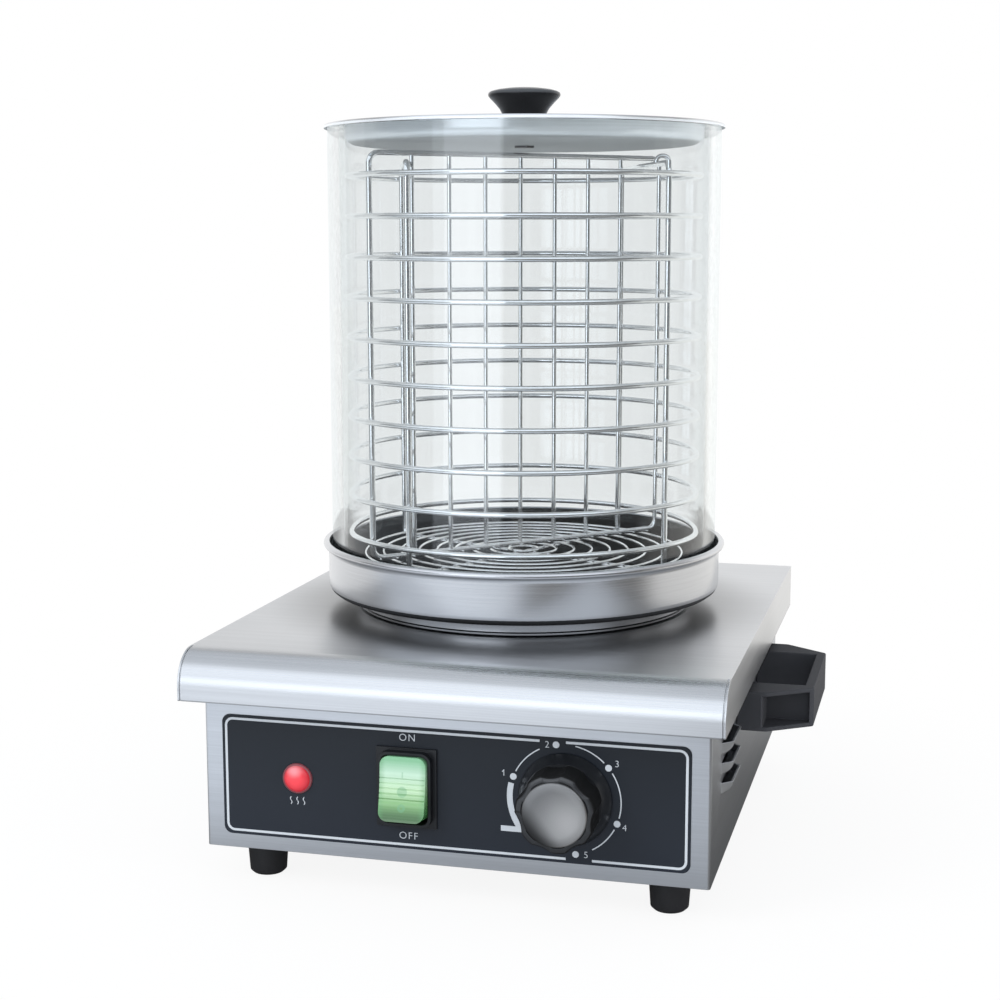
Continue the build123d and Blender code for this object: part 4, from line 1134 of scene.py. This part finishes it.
# ------------------------------ control panel
@dataclass
class Panel:
    """Control panel: film, printing, pilot lamp, rocker switch and dial knob."""

    label_front: float = -130.2
    label_low: float = 25.8
    label_high: float = 84.2
    print_height: float = 0.06
    level: float = 55.5
    lamp_x: float = -74.0
    lamp_radius: float = 7.3
    switch_x: float = -20.3
    rocker_half: float = 15.0
    knob_x: float = 54.3
    skirt_radius: float = 21.8
    skirt_low: float = 0.5
    skirt_high: float = 6.1
    grip_radius: float = 18.3
    grip_high: float = 21.6
    flute_count: int = 7
    flute_radius: float = 15.4
    flute_depth: float = 1.4
    flute_turn: float = -7.0
    cap_radius: float = 14.8
    cap_height: float = 1.4
    lens_outline: tuple[Point, ...] = (
        (0.0, 3.5), (2.2, 3.38), (4.1, 2.95), (5.5, 2.2), (6.3, 1.3), (6.5, 0.0), (0.0, 0.0)
    )
    dial_radius: float = 25.72
    dot_angles: tuple[float, ...] = (159.4, 99.5, 39.5, -21.3, -78.8)
    dot_half: float = 0.79
    arc_angles: tuple[Point, ...] = ((153.0, 117.5), (79.5, 46.0), (33.0, -15.0), (-28.0, -60.5))
    arc_half: float = 0.26
    band_angles: Point = (166.5, 212.0)
    band_half: float = 1.35
    off_mark: tuple[Point, ...] = ((24.4, 38.5), (35.6, 38.5), (33.4, 42.4), (31.1, 41.02), (24.4, 41.1))
    one_flag: tuple[Point, ...] = ((24.9, 66.6), (25.15, 66.3), (25.75, 66.95), (25.75, 67.45))
    wave_columns: tuple[float, ...] = (-3.5, -0.3, 2.9)
    wave_level: float = 44.6
    wave_radius: float = 1.15
    wave_half: float = 0.2
    border_x: float = 109.6
    border_low: float = 27.8
    border_high: float = 82.2
    border_half: float = 0.575
    border_corner: float = 3.4
    border_gaps: tuple[Point, Point] = ((54.7, 66.9), (42.4, 54.6))
    letter_gap: float = 1.18
    letter_thinning: float = -0.05
    words: tuple[tuple[str, float, float, float], ...] = (
        ("ON", -20.1, 78.9, 4.8),
        ("OFF", -19.8, 32.0, 4.8),
        ("1", 25.8, 65.9, 4.4),
        ("2", 45.9, 80.6, 4.4),
        ("3", 78.0, 73.9, 4.4),
        ("4", 81.7, 44.5, 4.4),
        ("5", 64.1, 30.3, 4.4),
    )

    def facing(self, x: float) -> Matrix:
        """Matrix that turns a shape on +Z to face forward at a place on the panel."""
        return Matrix.Translation((x, self.label_front, self.level)) @ Matrix.Rotation(math.pi / 2, 4, "X")

    def centre(self, x: float) -> Point:
        """Centre in metres of what stands at a place on the panel."""
        return (x * MM, self.level * MM)

    def film(self) -> None:
        """Dress the label film."""
        film = LabelFilm("label film", self.label_low * MM, self.label_high * MM).material()
        refined("control_label", Body.BASE, "label_film", film, 0.1)

    def border(self, form: Form) -> None:
        """Draw the thin border line, open where the dial's dots meet it.

        Args:
            form: form that takes the shapes.
        """
        half, corner = self.border_half, self.border_corner
        x, low, high = self.border_x, self.border_low, self.border_high
        for z, (left, right) in zip((low, high), self.border_gaps):
            form.plate((corner - x, z - half), (left, z + half))
            form.plate((right, z - half), (x - corner, z + half))
        for side in (-x, x):
            form.plate((side - half, low + corner), (side + half, high - corner))
        for start, right, up in ((0, 1, 1), (90, -1, 1), (180, -1, -1), (270, 1, -1)):
            centre = (right * (x - corner), high - corner if up > 0 else low + corner)
            form.arc_strip(centre, corner, half, start, start + 90)

    def dial_marks(self, form: Form) -> None:
        """Draw the dial's dots, thin arcs and widening band, its off mark and the flag of its numeral 1.

        Args:
            form: form that takes the shapes.
        """
        x, z = centre = (self.knob_x, self.level)
        for angle in map(math.radians, self.dot_angles):
            place = (x + self.dial_radius * math.cos(angle), z + self.dial_radius * math.sin(angle))
            form.arc_strip(place, self.dot_half + 0.02, self.dot_half, 0, 359.9)
        for start, end in self.arc_angles:
            form.arc_strip(centre, self.dial_radius, self.arc_half, end, start)
        form.arc_strip(centre, self.dial_radius, self.band_half, *self.band_angles)
        form.patch(self.off_mark)
        form.patch(self.one_flag)

    def heat_sign(self, form: Form) -> None:
        """Draw three short rising waves under the lamp.

        Args:
            form: form that takes the shapes.
        """
        for column in self.wave_columns:
            x, z = self.lamp_x + column, self.wave_level
            form.arc_strip((x + 0.75, z + 0.85), self.wave_radius, self.wave_half, 125, 235)
            form.arc_strip((x - 0.75, z - 0.85), self.wave_radius, self.wave_half, -55, 55)

    def printing(self) -> None:
        """Print the panel's lines and characters on the film."""
        form = Form()
        self.border(form)
        self.dial_marks(form)
        self.heat_sign(form)
        form.raise_flat(self.label_front - self.print_height, self.print_height * 0.9)
        ink = Moulding("printed grey", (0.50, 0.53, 0.56), 0.42, texture=0.000004, variation=0.05).material()
        form.piece("panel_lines", Body.BASE, "label_film", ink)
        form = Form()
        for word in self.words:
            self.character(form, *word)
        form.piece("panel_characters", Body.BASE, "label_film", ink)

    def character(self, form: Form, text: str, x: float, z: float, size: float) -> None:
        """Add one word to a form, centred at a place on the film.

        Args:
            form: form that takes the characters.
            text: the word.
            x: centre across the panel.
            z: centre up the panel.
            size: height of the type's body.
        """
        curve = bpy.data.curves.new("type", "FONT")
        curve.body, curve.size = text, size
        curve.align_x = curve.align_y = "CENTER"
        curve.space_character = self.letter_gap
        curve.offset = self.letter_thinning
        curve.extrude = self.print_height * 0.45
        holder = placed("type", curve)
        bpy.context.view_layer.update()
        mesh = bpy.data.meshes.new_from_object(holder.evaluated_get(bpy.context.evaluated_depsgraph_get()))
        bpy.data.objects.remove(holder)
        bpy.data.curves.remove(curve)
        before = set(form.bm.verts)
        form.bm.from_mesh(mesh)
        bpy.data.meshes.remove(mesh)
        place = Matrix.Translation((x, self.label_front - self.print_height * 0.5, z))
        fresh = [vert for vert in form.bm.verts if vert not in before]
        form.move(place @ Matrix.Rotation(math.pi / 2, 4, "X"), fresh)

    def lamp(self) -> None:
        """Turn the lamp's rim and its domed lens."""
        form = Form().turned(self.lens_outline, steps=72)
        form.move(self.facing(self.lamp_x))
        red = LampRed("lamp red", self.centre(self.lamp_x), self.lamp_radius * MM).material()
        form.piece("lamp_lens", Body.BASE, "red_lens", red, ("pilot_lens",), 50.0)
        band = [(6.5, 0.0), (self.lamp_radius, 0.0), (self.lamp_radius - 0.1, 0.8), (6.75, 1.15), (6.35, 1.1)]
        form = Form().turned(band, closed=True, steps=72)
        form.move(self.facing(self.lamp_x))
        rim = Moulding("lamp rim", (0.20, 0.045, 0.055), 0.3, shine=0.6).material()
        form.piece("lamp_rim", Body.BASE, "red_lens", rim, sharp=50.0)

    def switch(self) -> None:
        """Dress the switch's frame and its rocker."""
        black = Moulding("switch plastic", (0.006, 0.007, 0.009), 0.34, texture=0.00001, shine=0.4).material()
        refined("switch_frame", Body.BASE, "black_plastic", black, 0.35)
        green = RockerGreen("rocker green", self.centre(self.switch_x), self.rocker_half * MM).material()
        refined("switch_rocker", Body.ROCKER, "green_rocker", green, 0.25)

    def fluted(self, form: Form) -> None:
        """Pull the side of a turned grip into concave flutes.

        Args:
            form: form of the grip, still on +Z.
        """
        reach = self.grip_radius + self.flute_radius - self.flute_depth
        pitch = 360 / self.flute_count
        for vert in form.bm.verts:
            radius = math.hypot(vert.co.x, vert.co.y)
            if radius < self.grip_radius - 3.0 or vert.co.z < self.skirt_high - 0.01:
                continue
            angle = math.degrees(math.atan2(vert.co.y, vert.co.x)) - self.flute_turn
            off = math.radians((angle + pitch / 2) % pitch - pitch / 2)
            inside = self.flute_radius**2 - (reach * math.sin(off)) ** 2
            wall = reach * math.cos(off) - math.sqrt(max(inside, 0.0))
            if inside > 0 and wall < self.grip_radius:
                vert.co.xy *= wall / self.grip_radius

    def knob(self) -> None:
        """Turn the knob's skirt and fluted grip, and its metal cap."""
        low, high, top = self.skirt_low, self.skirt_high, self.grip_high
        skirt, grip, rim, face = self.skirt_radius, self.grip_radius, self.cap_radius, top + self.cap_height
        outline = [(0.0, low), (skirt - 0.3, low), (skirt, low + 0.3), (skirt - 0.2, low + 0.9)]
        outline += [(grip + 0.05, high - 0.02), (grip, high), (grip, high + 4.0), (grip, top - 4.0)]
        outline += [(grip, top - 1.3), (grip - 0.4, top - 0.45), (grip - 1.3, top), (rim + 0.6, top)]
        outline += [(rim + 0.25, top - 0.5), (0.0, top - 0.5)]
        form = Form().turned(outline, steps=280)
        self.fluted(form)
        form.move(self.facing(self.knob_x))
        back, front = (self.label_front - high) * MM, (self.label_front - top + 0.3) * MM
        gloss = KnobPlastic("knob plastic", self.centre(self.knob_x), back, front, (rim + 0.9) * MM)
        form.piece("dial_knob", Body.KNOB, "knob_plastic", gloss.material(), ("knob_grip",), 30.0)
        self.pointer()
        outline = [(0.0, top - 0.5), (rim, top - 0.5), (rim, face - 0.6), (rim - 0.2, face - 0.2)]
        outline += [(rim - 0.7, face), (rim * 0.7, face - 0.12), (rim * 0.35, face - 0.22)]
        outline += [(0.0, face - 0.25)]
        form = Form().turned(outline, steps=120)
        form.move(self.facing(self.knob_x))
        satin = SatinCap("cap aluminium", self.centre(self.knob_x), rim * MM).material()
        form.piece("dial_cap", Body.KNOB, "satin_aluminium", satin, ("knob_cap",), 50.0)

    def pointer(self) -> None:
        """Set the pointer's dark line into the skirt and the grip at nine o'clock."""
        skirt, grip, top = self.skirt_radius, self.grip_radius, self.grip_high
        form = Form()
        form.block((-grip + 0.2, -0.35, top - 0.7), (-self.cap_radius - 0.3, 0.35, top + 0.04))
        verts = form.block((-skirt + 0.4, -0.4, -0.28), (-grip - 0.2, 0.4, 0.04))
        slope = Matrix.Rotation(-math.atan2(self.skirt_high - self.skirt_low - 1.2, skirt - grip), 4, "Y")
        pivot = Matrix.Translation((-skirt + 0.2, 0, self.skirt_low + 0.95))
        stretch = Matrix.Diagonal((1.75, 1, 1, 1)) @ Matrix.Translation((skirt - 0.2, 0, 0))
        form.move(pivot @ slope @ stretch, verts)
        form.move(self.facing(self.knob_x))
        line = Moulding("pointer line", (0.003, 0.003, 0.003), 0.6, texture=0.000004).material()
        form.piece("dial_pointer", Body.KNOB, "knob_plastic", line)

    def build(self) -> None:
        """Make every piece of the panel."""
        self.film()
        self.printing()
        self.lamp()
        self.switch()
        self.knob()


# ------------------------------ upper part
@dataclass
class UpperPart:
    """Water tray, glass tube and lid, all turned about one upright axis."""

    axis_y: float = 11.7
    cover_top: float = 115.6
    sheet: float = 0.9
    tray_foot: float = 86.7
    tray_wall: float = 102.1
    tray_rim: float = 104.8
    tray_bead: float = 1.75
    tray_ledge: float = 124.6
    tray_top: float = 150.3
    glass_radius: float = 100.0
    glass_wall: float = 5.9
    glass_low: float = 124.9
    glass_high: float = 360.7
    glass_soft: float = 0.7
    lid_sheet: float = 0.8
    lid_flange: float = 101.6
    lid_under: float = 361.0
    lid_top: float = 361.8
    lid_pan: float = 91.0
    knob_outline: tuple[Point, ...] = (
        (12.4, 0.9), (11.4, 3.2), (10.5, 6.0), (10.3, 10.5), (10.9, 13.2), (12.6, 16.4),
        (15.2, 19.4), (17.4, 21.6), (18.25, 22.7), (18.4, 23.5), (18.1, 24.4), (17.0, 25.1),
        (14.0, 25.9), (9.0, 26.6), (4.0, 26.95), (0.0, 27.0),
    )
    pan_low: float = 351.6
    knob_seat: float = 353.8

    def turned(self, outline: Sequence[Point], height: float = 0.0, **how: Any) -> Form:
        """Turn an outline about the tube's axis.

        Args:
            outline: (radius, height) points.
            height: height that they count from.
            how: whether it is closed, and its steps.

        Returns:
            The form.
        """
        form = Form().turned(outline, **how)
        form.move(Matrix.Translation((0, self.axis_y, height)))
        return form

    def tray(self) -> None:
        """Turn the drawn tray with its stepped foot, soft lower edge and rolled rim."""
        foot, wall, thick, bead = self.tray_foot, self.tray_wall, self.sheet, self.tray_bead
        ledge, floor, top = self.tray_ledge, self.cover_top, self.tray_top
        under, inner = ledge - thick, wall - thick
        outline = [(0.0, floor), (foot - 1.0, floor), (foot, floor + 0.9), (foot + 0.1, floor + 1.7)]
        outline += [(foot - 0.5, floor + 2.3), (foot - 0.5, under - 1.2), (foot + 0.4, under)]
        outline += [(wall - 4.4, under), (wall - 2.6, under + 0.45), (wall - 1.1, under + 1.6)]
        outline += [(wall - 0.25, under + 3.2), (wall, under + 5.0), (wall, top - 5.6)]
        outline += [(wall + 0.25, top - 4.2), (wall + 0.9, top - 3.3)]
        for angle in (math.radians(-60 + step * 27) for step in range(11)):
            roll = (self.tray_rim - bead + bead * math.cos(angle), top - bead + bead * math.sin(angle))
            outline.append(roll)
        outline += [(inner, top - 2.2), (inner, ledge + 5.0), (inner - 0.6, ledge + 2.2)]
        outline += [(inner - 2.6, ledge + 0.3), (wall - 4.8, ledge), (foot - 1.6, ledge)]
        outline += [(foot - 1.6, floor + thick + 0.8), (foot - 2.4, floor + thick), (0.0, floor + thick)]
        # The tray steel carries painted shade inside its wall and well and under it.
        steel = TraySteel(
            "tray steel",
            self.axis_y * MM,
            (0.60, 0.61, 0.63),
            roughness=0.24,
            contrast=0.20,
            shade_radius=(wall - 0.3) * MM,
            shade_above=(ledge - 0.6) * MM,
            foot_level=(floor + 0.4) * MM,
            well_radius=(foot - 1.2) * MM,
            well_level=(floor + 0.5 * thick) * MM,
        ).material()
        self.turned(outline).piece("drawn_tray", Body.BASE, "tray_steel", steel, ("water_tray",), 40.0)

    def glass(self) -> None:
        """Turn the clear tube with its softened ends."""
        outer, inner = self.glass_radius, self.glass_radius - self.glass_wall
        low, high, soft = self.glass_low, self.glass_high, self.glass_soft
        outline = [(inner, low + soft), (inner + soft, low), (outer - soft, low), (outer, low + soft)]
        outline += [(outer, high - soft), (outer - soft, high), (inner + soft, high), (inner, high - soft)]
        clear = ClearGlass("clear glass").material()
        tube = self.turned(outline, closed=True, steps=180)
        tube.piece("clear_tube", Body.GLASS, "glass", clear, ("glass_tube",), 30.0)

    def lid(self) -> None:
        """Turn the pressed lid."""
        flange, pan, top, under = self.lid_flange, self.lid_pan, self.lid_top, self.lid_under
        floor, upper, inner = self.pan_low, self.pan_low + self.lid_sheet, pan - self.lid_sheet
        outline = [(0.0, floor), (pan - 7.0, floor), (pan - 3.6, floor + 0.35), (pan - 1.5, floor + 1.4)]
        outline += [(pan - 0.3, floor + 3.1), (pan, floor + 5.2), (pan + 0.5, under - 0.3)]
        outline += [(pan + 1.3, under), (flange - 0.9, under), (flange - 0.75, under - 0.3)]
        outline += [(flange - 0.75, under - 1.0), (flange, under - 1.0), (flange, top - 0.5)]
        outline += [(flange - 0.4, top), (pan + 1.0, top)]
        outline += [(pan - 0.3, top - 0.5), (inner, top - 1.6), (inner - 0.6, upper + 3.6)]
        outline += [(pan - 3.2, upper + 1.2), (pan - 6.0, upper + 0.2), (pan - 9.5, upper), (0.0, upper)]
        colour, level = (0.66, 0.67, 0.685), under * MM
        steel = LidSteel("lid steel", self.axis_y * MM, colour, 0.20, 0.09, under_level=level).material()
        self.turned(outline).piece("pressed_lid", Body.LID, "lid_steel", steel, ("lid_pan",), 40.0)

    def lid_knob(self) -> None:
        """Turn the lid's black knob."""
        foot = self.pan_low + self.lid_sheet - self.knob_seat + 0.05
        outline = [(0.0, foot), (12.3, foot), *self.knob_outline]
        # The knob's upper colour is its painted highlight.
        dark, upper = (0.004, 0.004, 0.005), (0.060, 0.064, 0.070)
        black = Moulding("lid knob plastic", dark, 0.28, texture=0.00001, shine=0.22, upper=upper).material()
        knob = self.turned(outline, self.knob_seat, steps=96)
        knob.piece("black_knob", Body.LID, "knob_plastic", black, ("lid_knob",), 60.0)

    def build(self) -> None:
        """Make the tray, the glass and the lid."""
        self.tray()
        self.glass()
        self.lid()
        self.lid_knob()


# ------------------------------ basket
def at(azimuth: float, radius: float, z: float = 0.0) -> Vector:
    """Point at an azimuth in degrees, a radius and a height."""
    turn = math.radians(azimuth)
    return Vector((radius * math.cos(turn), radius * math.sin(turn), z))


@dataclass
class Basket:
    """Welded wire basket: hoops, bent posts with hooks, a grate and a divider."""

    axis_y: float = 11.7
    wire: float = 1.4
    ring_radius: float = 90.0
    ring_count: int = 10
    ring_first: float = 155.8
    ring_pitch: float = 20.06
    post_azimuth: float = -25.0
    post_radius: float = 87.1
    bar_z: float = 141.5
    bail_z: float = 341.5
    leg_low: float = 116.8
    leg_place: float = 60.0
    bend: float = 4.5
    hook_radius: float = 2.9
    hook_wire: float = 1.1
    hook_turn: float = -141.0
    post_sides: int = 14
    grate_radius: float = 83.0
    grate_count: int = 9
    grate_pitch: float = 9.4
    grate_z: float = 143.6
    grate_wire: float = 0.8
    divider_angle: float = 46.0
    divider_low: float = 147.0
    divider_high: float = 346.8
    divider_count: int = 7
    divider_pitch: float = 20.9
    divider_wire: float = 1.2
    divider_shift: float = -2.1
    divider_bend: float = 5.0
    bright: Optional[Material] = None

    def finish(self, form: Form, name: str, node: str) -> None:
        """Move a form onto the tube's axis and stand it for its node.

        Args:
            form: the form.
            name: name of the piece.
            node: node that it replaces.
        """
        form.face_out()
        form.move(Matrix.Translation((0, self.axis_y, 0)))
        form.piece(name, Body.BASKET, "wire", self.bright, (node,), sharp=60.0)

    def hoops(self) -> None:
        """Stack the hoops of the wall."""
        form = Form()
        for index in range(self.ring_count):
            form.hoop(self.ring_radius, self.ring_first + index * self.ring_pitch, self.wire)
        self.finish(form, "basket_hoops", "basket_rings")

    def posts(self) -> None:
        """Bend the posts with their bails and hooks, and stand the legs."""
        form = Form()
        for azimuth in (self.post_azimuth, self.post_azimuth + 180):
            self.loop(form, azimuth)
            self.hook(form, azimuth)
        for quarter in range(4):
            place = at(self.post_azimuth + 90 * quarter, self.leg_place)
            form.wire([place + Vector((0, 0, z)) for z in (self.leg_low, self.bar_z)], self.wire)
        self.finish(form, "basket_posts", "basket_frame")

    def loop(self, form: Form, azimuth: float) -> None:
        """Bend one wire from the hub out, up a post, along a bail and back.

        Args:
            form: form that takes the wire.
            azimuth: azimuth of the first post in degrees.
        """
        stops = [(azimuth, self.bar_z), (azimuth, self.bail_z)]
        stops += [(azimuth + 90, self.bail_z), (azimuth + 90, self.bar_z)]
        hub = Vector((0, 0, self.bar_z))
        corners = [hub, *(at(turn, self.post_radius, z) for turn, z in stops), hub]
        form.wire(corners, self.wire, self.bend, sides=self.post_sides)

    def hook(self, form: Form, azimuth: float) -> None:
        """Bend the hook that tops a post.

        Args:
            form: form that takes the wire.
            azimuth: azimuth of the post in degrees.
        """
        start = at(azimuth, self.post_radius, self.bail_z)
        along = at(azimuth + self.hook_turn, 2 * self.hook_radius)
        rise = Vector((0, 0, self.hook_radius + 0.2))
        corners = [start - Vector((0, 0, self.bend)), start + rise, start + rise + along, start + along]
        form.wire(corners, self.hook_wire, self.hook_radius * 0.97)

    def floor(self) -> None:
        """Lay the rings of the grate."""
        form = Form()
        for index in range(self.grate_count):
            radius = self.grate_radius - index * self.grate_pitch
            form.hoop(radius, self.grate_z, self.grate_wire, steps=96, sides=10)
        self.finish(form, "basket_floor", "basket_grate")

    def divider(self) -> None:
        """Bend the divider's frame and add its bars."""
        form = Form()
        half, low, high = self.post_radius, self.divider_low, self.divider_high
        corners = [Vector((x, 0, z)) for x, z in ((-half, low), (half, low), (half, high), (-half, high))]
        form.wire(corners, self.wire, self.divider_bend, sides=self.post_sides, closed=True)
        first = self.divider_shift - (self.divider_count - 1) / 2 * self.divider_pitch
        for index in range(self.divider_count):
            x = first + index * self.divider_pitch
            form.wire([Vector((x, 0, low)), Vector((x, 0, high))], self.divider_wire)
        form.move(Matrix.Rotation(math.radians(self.divider_angle), 4, "Z"))
        self.finish(form, "basket_screen", "basket_divider")

    def build(self) -> None:
        """Make the four wire pieces."""
        self.bright = PlainMetal("bright wire", (0.98, 0.98, 0.985), 0.10, 0.04, 500.0, metal=0.90).material()
        self.hoops()
        self.posts()
        self.floor()
        self.divider()


# ------------------------------ studio
@dataclass(frozen=True)
class LightPanel:
    """Upright panel of the studio between two headings in degrees, seen from the object."""

    start: float
    end: float
    light: float
    soft: float = 1.0


@dataclass
class Studio:
    """Camera, lamps, floor and surroundings."""

    back_light: float = 1.12
    upper_light: float = 0.62
    front_upper_light: float = 1.38
    top_light: float = 0.80
    dim_floor: float = 0.80
    cool: Colour = (0.90, 0.955, 1.03)
    warm: Colour = (1.0, 0.985, 0.955)
    panels: tuple[LightPanel, ...] = (
        LightPanel(-180.0, -122.0, 0.35),
        LightPanel(-122.0, -87.5, 2.35),
        LightPanel(-87.5, 3.0, 0.12),
        LightPanel(3.0, 34.0, 0.45, 6.0),
        LightPanel(149.0, 181.0, 0.82),
    )
    place: tuple[float, float, float] = (0.22157, -0.88901, 0.31154)
    yaw: float = 14.589
    pitch: float = 8.724
    roll: float = -0.033
    lens: float = 64.34
    floor_radius: float = 6.0

    def camera(self) -> None:
        """Set the camera."""
        data = bpy.data.cameras.new("camera")
        data.lens, data.sensor_width, data.sensor_fit = self.lens, 36.0, "HORIZONTAL"
        data.clip_start, data.clip_end = 0.01, 50.0
        camera = placed("camera", data)
        turn = Matrix.Translation(self.place)
        for angle, axis in ((self.yaw, "Z"), (90 - self.pitch, "X"), (self.roll, "Z")):
            turn = turn @ Matrix.Rotation(math.radians(angle), 4, axis)
        camera.matrix_world = turn
        bpy.context.scene.camera = camera

    def lamp(self, name: str, place: Sequence[float], height: float, width: float, power: float) -> None:
        """Hang one soft square lamp.

        Args:
            name: name of the lamp.
            place: where it hangs.
            height: height of the point above the origin that it faces.
            width: width of its square.
            power: watts.
        """
        data = bpy.data.lights.new(name, "AREA")
        data.shape, data.size, data.size_y, data.energy = "RECTANGLE", width, width, power
        lamp = placed(name, data)
        lamp.visible_glossy = False
        heading = Vector((0, 0, height)) - Vector(place)
        lamp.matrix_world = Matrix.Translation(place) @ heading.to_track_quat("-Z", "Y").to_matrix().to_4x4()

    def lamps(self) -> None:
        """Hang the soft lamps."""
        self.lamp("key lamp", (-1.3, -1.5, 1.35), 0.15, 1.0, 24.0)
        self.lamp("top lamp", (0.1, 0.3, 1.9), 0.1, 1.2, 1.5)
        self.lamp("right lamp", (1.3, -0.35, 0.25), 0.1, 0.6, 9.0)

    def panel_light(self, heading: Value) -> Value:
        """Add up the light of the studio's upright panels.

        Args:
            heading: heading in degrees.

        Returns:
            The light.
        """
        light: Any = self.back_light
        for panel in self.panels:
            light = passing(light, panel.light, heading.inside(panel.start, panel.end, panel.soft))
        return light

    def surroundings(self) -> None:
        """Light the world with soft panels, white where the camera looks past the object."""
        tree = Tree("studio", world=True)
        x, y, z = tree.axes(tree.add("ShaderNodeTexCoord").outputs["Generated"])
        front = (0 - y).between(0.0, 0.5)
        upper = passing(self.upper_light, self.front_upper_light, front)
        share = passing(z.between(0.30, 0.60), z.between(0.12, 0.30), front)
        light = passing(self.panel_light(y.heading(x)), upper, share)
        light = passing(light, self.top_light, z.between(0.72, 0.92))
        seen = tree.rays("Camera", "Transmission")
        tint = tree.blend(front.most(z.between(0.6, 0.8)) * (1 - seen), WHITE, self.cool)
        inputs = {"Color": tint, "Strength": passing(light, 1, seen)}
        bpy.context.scene.world = tree.done(tree.add("ShaderNodeBackground", None, inputs).outputs[0])

    def floor(self) -> None:
        """Lay a pale floor that stays white behind the object and takes its shadow."""
        form = Form()
        bmesh.ops.create_circle(form.bm, cap_ends=True, radius=self.floor_radius, segments=64)
        mesh = bpy.data.meshes.new("floor")
        form.bm.to_mesh(mesh)
        form.bm.free()
        tree = Tree("pale floor")
        diffuse = tree.surface(Base_Color=(0.86, 0.86, 0.86), Roughness=0.9, Specular_IOR_Level=0.0)
        x, y, _ = tree.axes()
        reach, heading = x.reach(y), y.heading(x)
        seen, mirrored = tree.rays("Camera", "Transmission"), tree.rays("Glossy")
        unseen = mirrored * (1 - seen)
        # In reflections the floor glows, with painted shade: dark close beside and behind the object, half
        # bright in front of it, dimmer to the front right, and the panels' light far out.
        right = x.between(0.12, 0.2)
        front = (0 - y).between(0.10, 0.22) * (1 - right)
        aside = reach.between(0.15, 0.62) + 0.08
        ahead = reach.between(0.20, 0.40) * 0.50 + 0.50 + (0 - x).between(-0.1, 0.25) * 0.20
        ahead = ahead * (1 - reach.between(0.60, 0.80) * 0.70)
        dim = heading.between(-86.0, -70.0) * (1 - heading.between(-14.0, 4.0)) * reach.between(0.30, 0.50)
        near = passing(aside, ahead, front) * (1 - dim * self.dim_floor)
        light = passing(near, self.panel_light(heading), reach.between(0.95, 1.5))
        tint = tree.blend(front * unseen, WHITE, self.cool)
        tint = tree.blend(right * unseen, tint, self.warm)
        inputs = {"Color": tint, "Strength": passing(1, light, unseen)}
        glow = tree.add("ShaderNodeEmission", None, inputs).outputs[0]
        share = (seen * (0.90 + reach.between(0.15, 0.4) * 0.10)).most(mirrored)
        mesh.materials.append(tree.done(tree.mixed(share, diffuse, glow)))
        floor = placed("floor", mesh)

    def build(self) -> None:
        """Set up the camera, the lamps, the world and the floor."""
        self.camera()
        self.lamps()
        self.surroundings()
        self.floor()
        bpy.context.scene.view_settings.view_transform = "Standard"


def main() -> None:
    """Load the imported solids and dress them."""
    logging.basicConfig(level=logging.INFO, format="%(name)s: %(message)s")
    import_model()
    for part in (Base(), Panel(), UpperPart(), Basket(), Studio()):
        part.build()
        LOG.info("%s is built", type(part).__name__)
    bpy.context.view_layer.update()


if __name__ == "__main__":
    main()
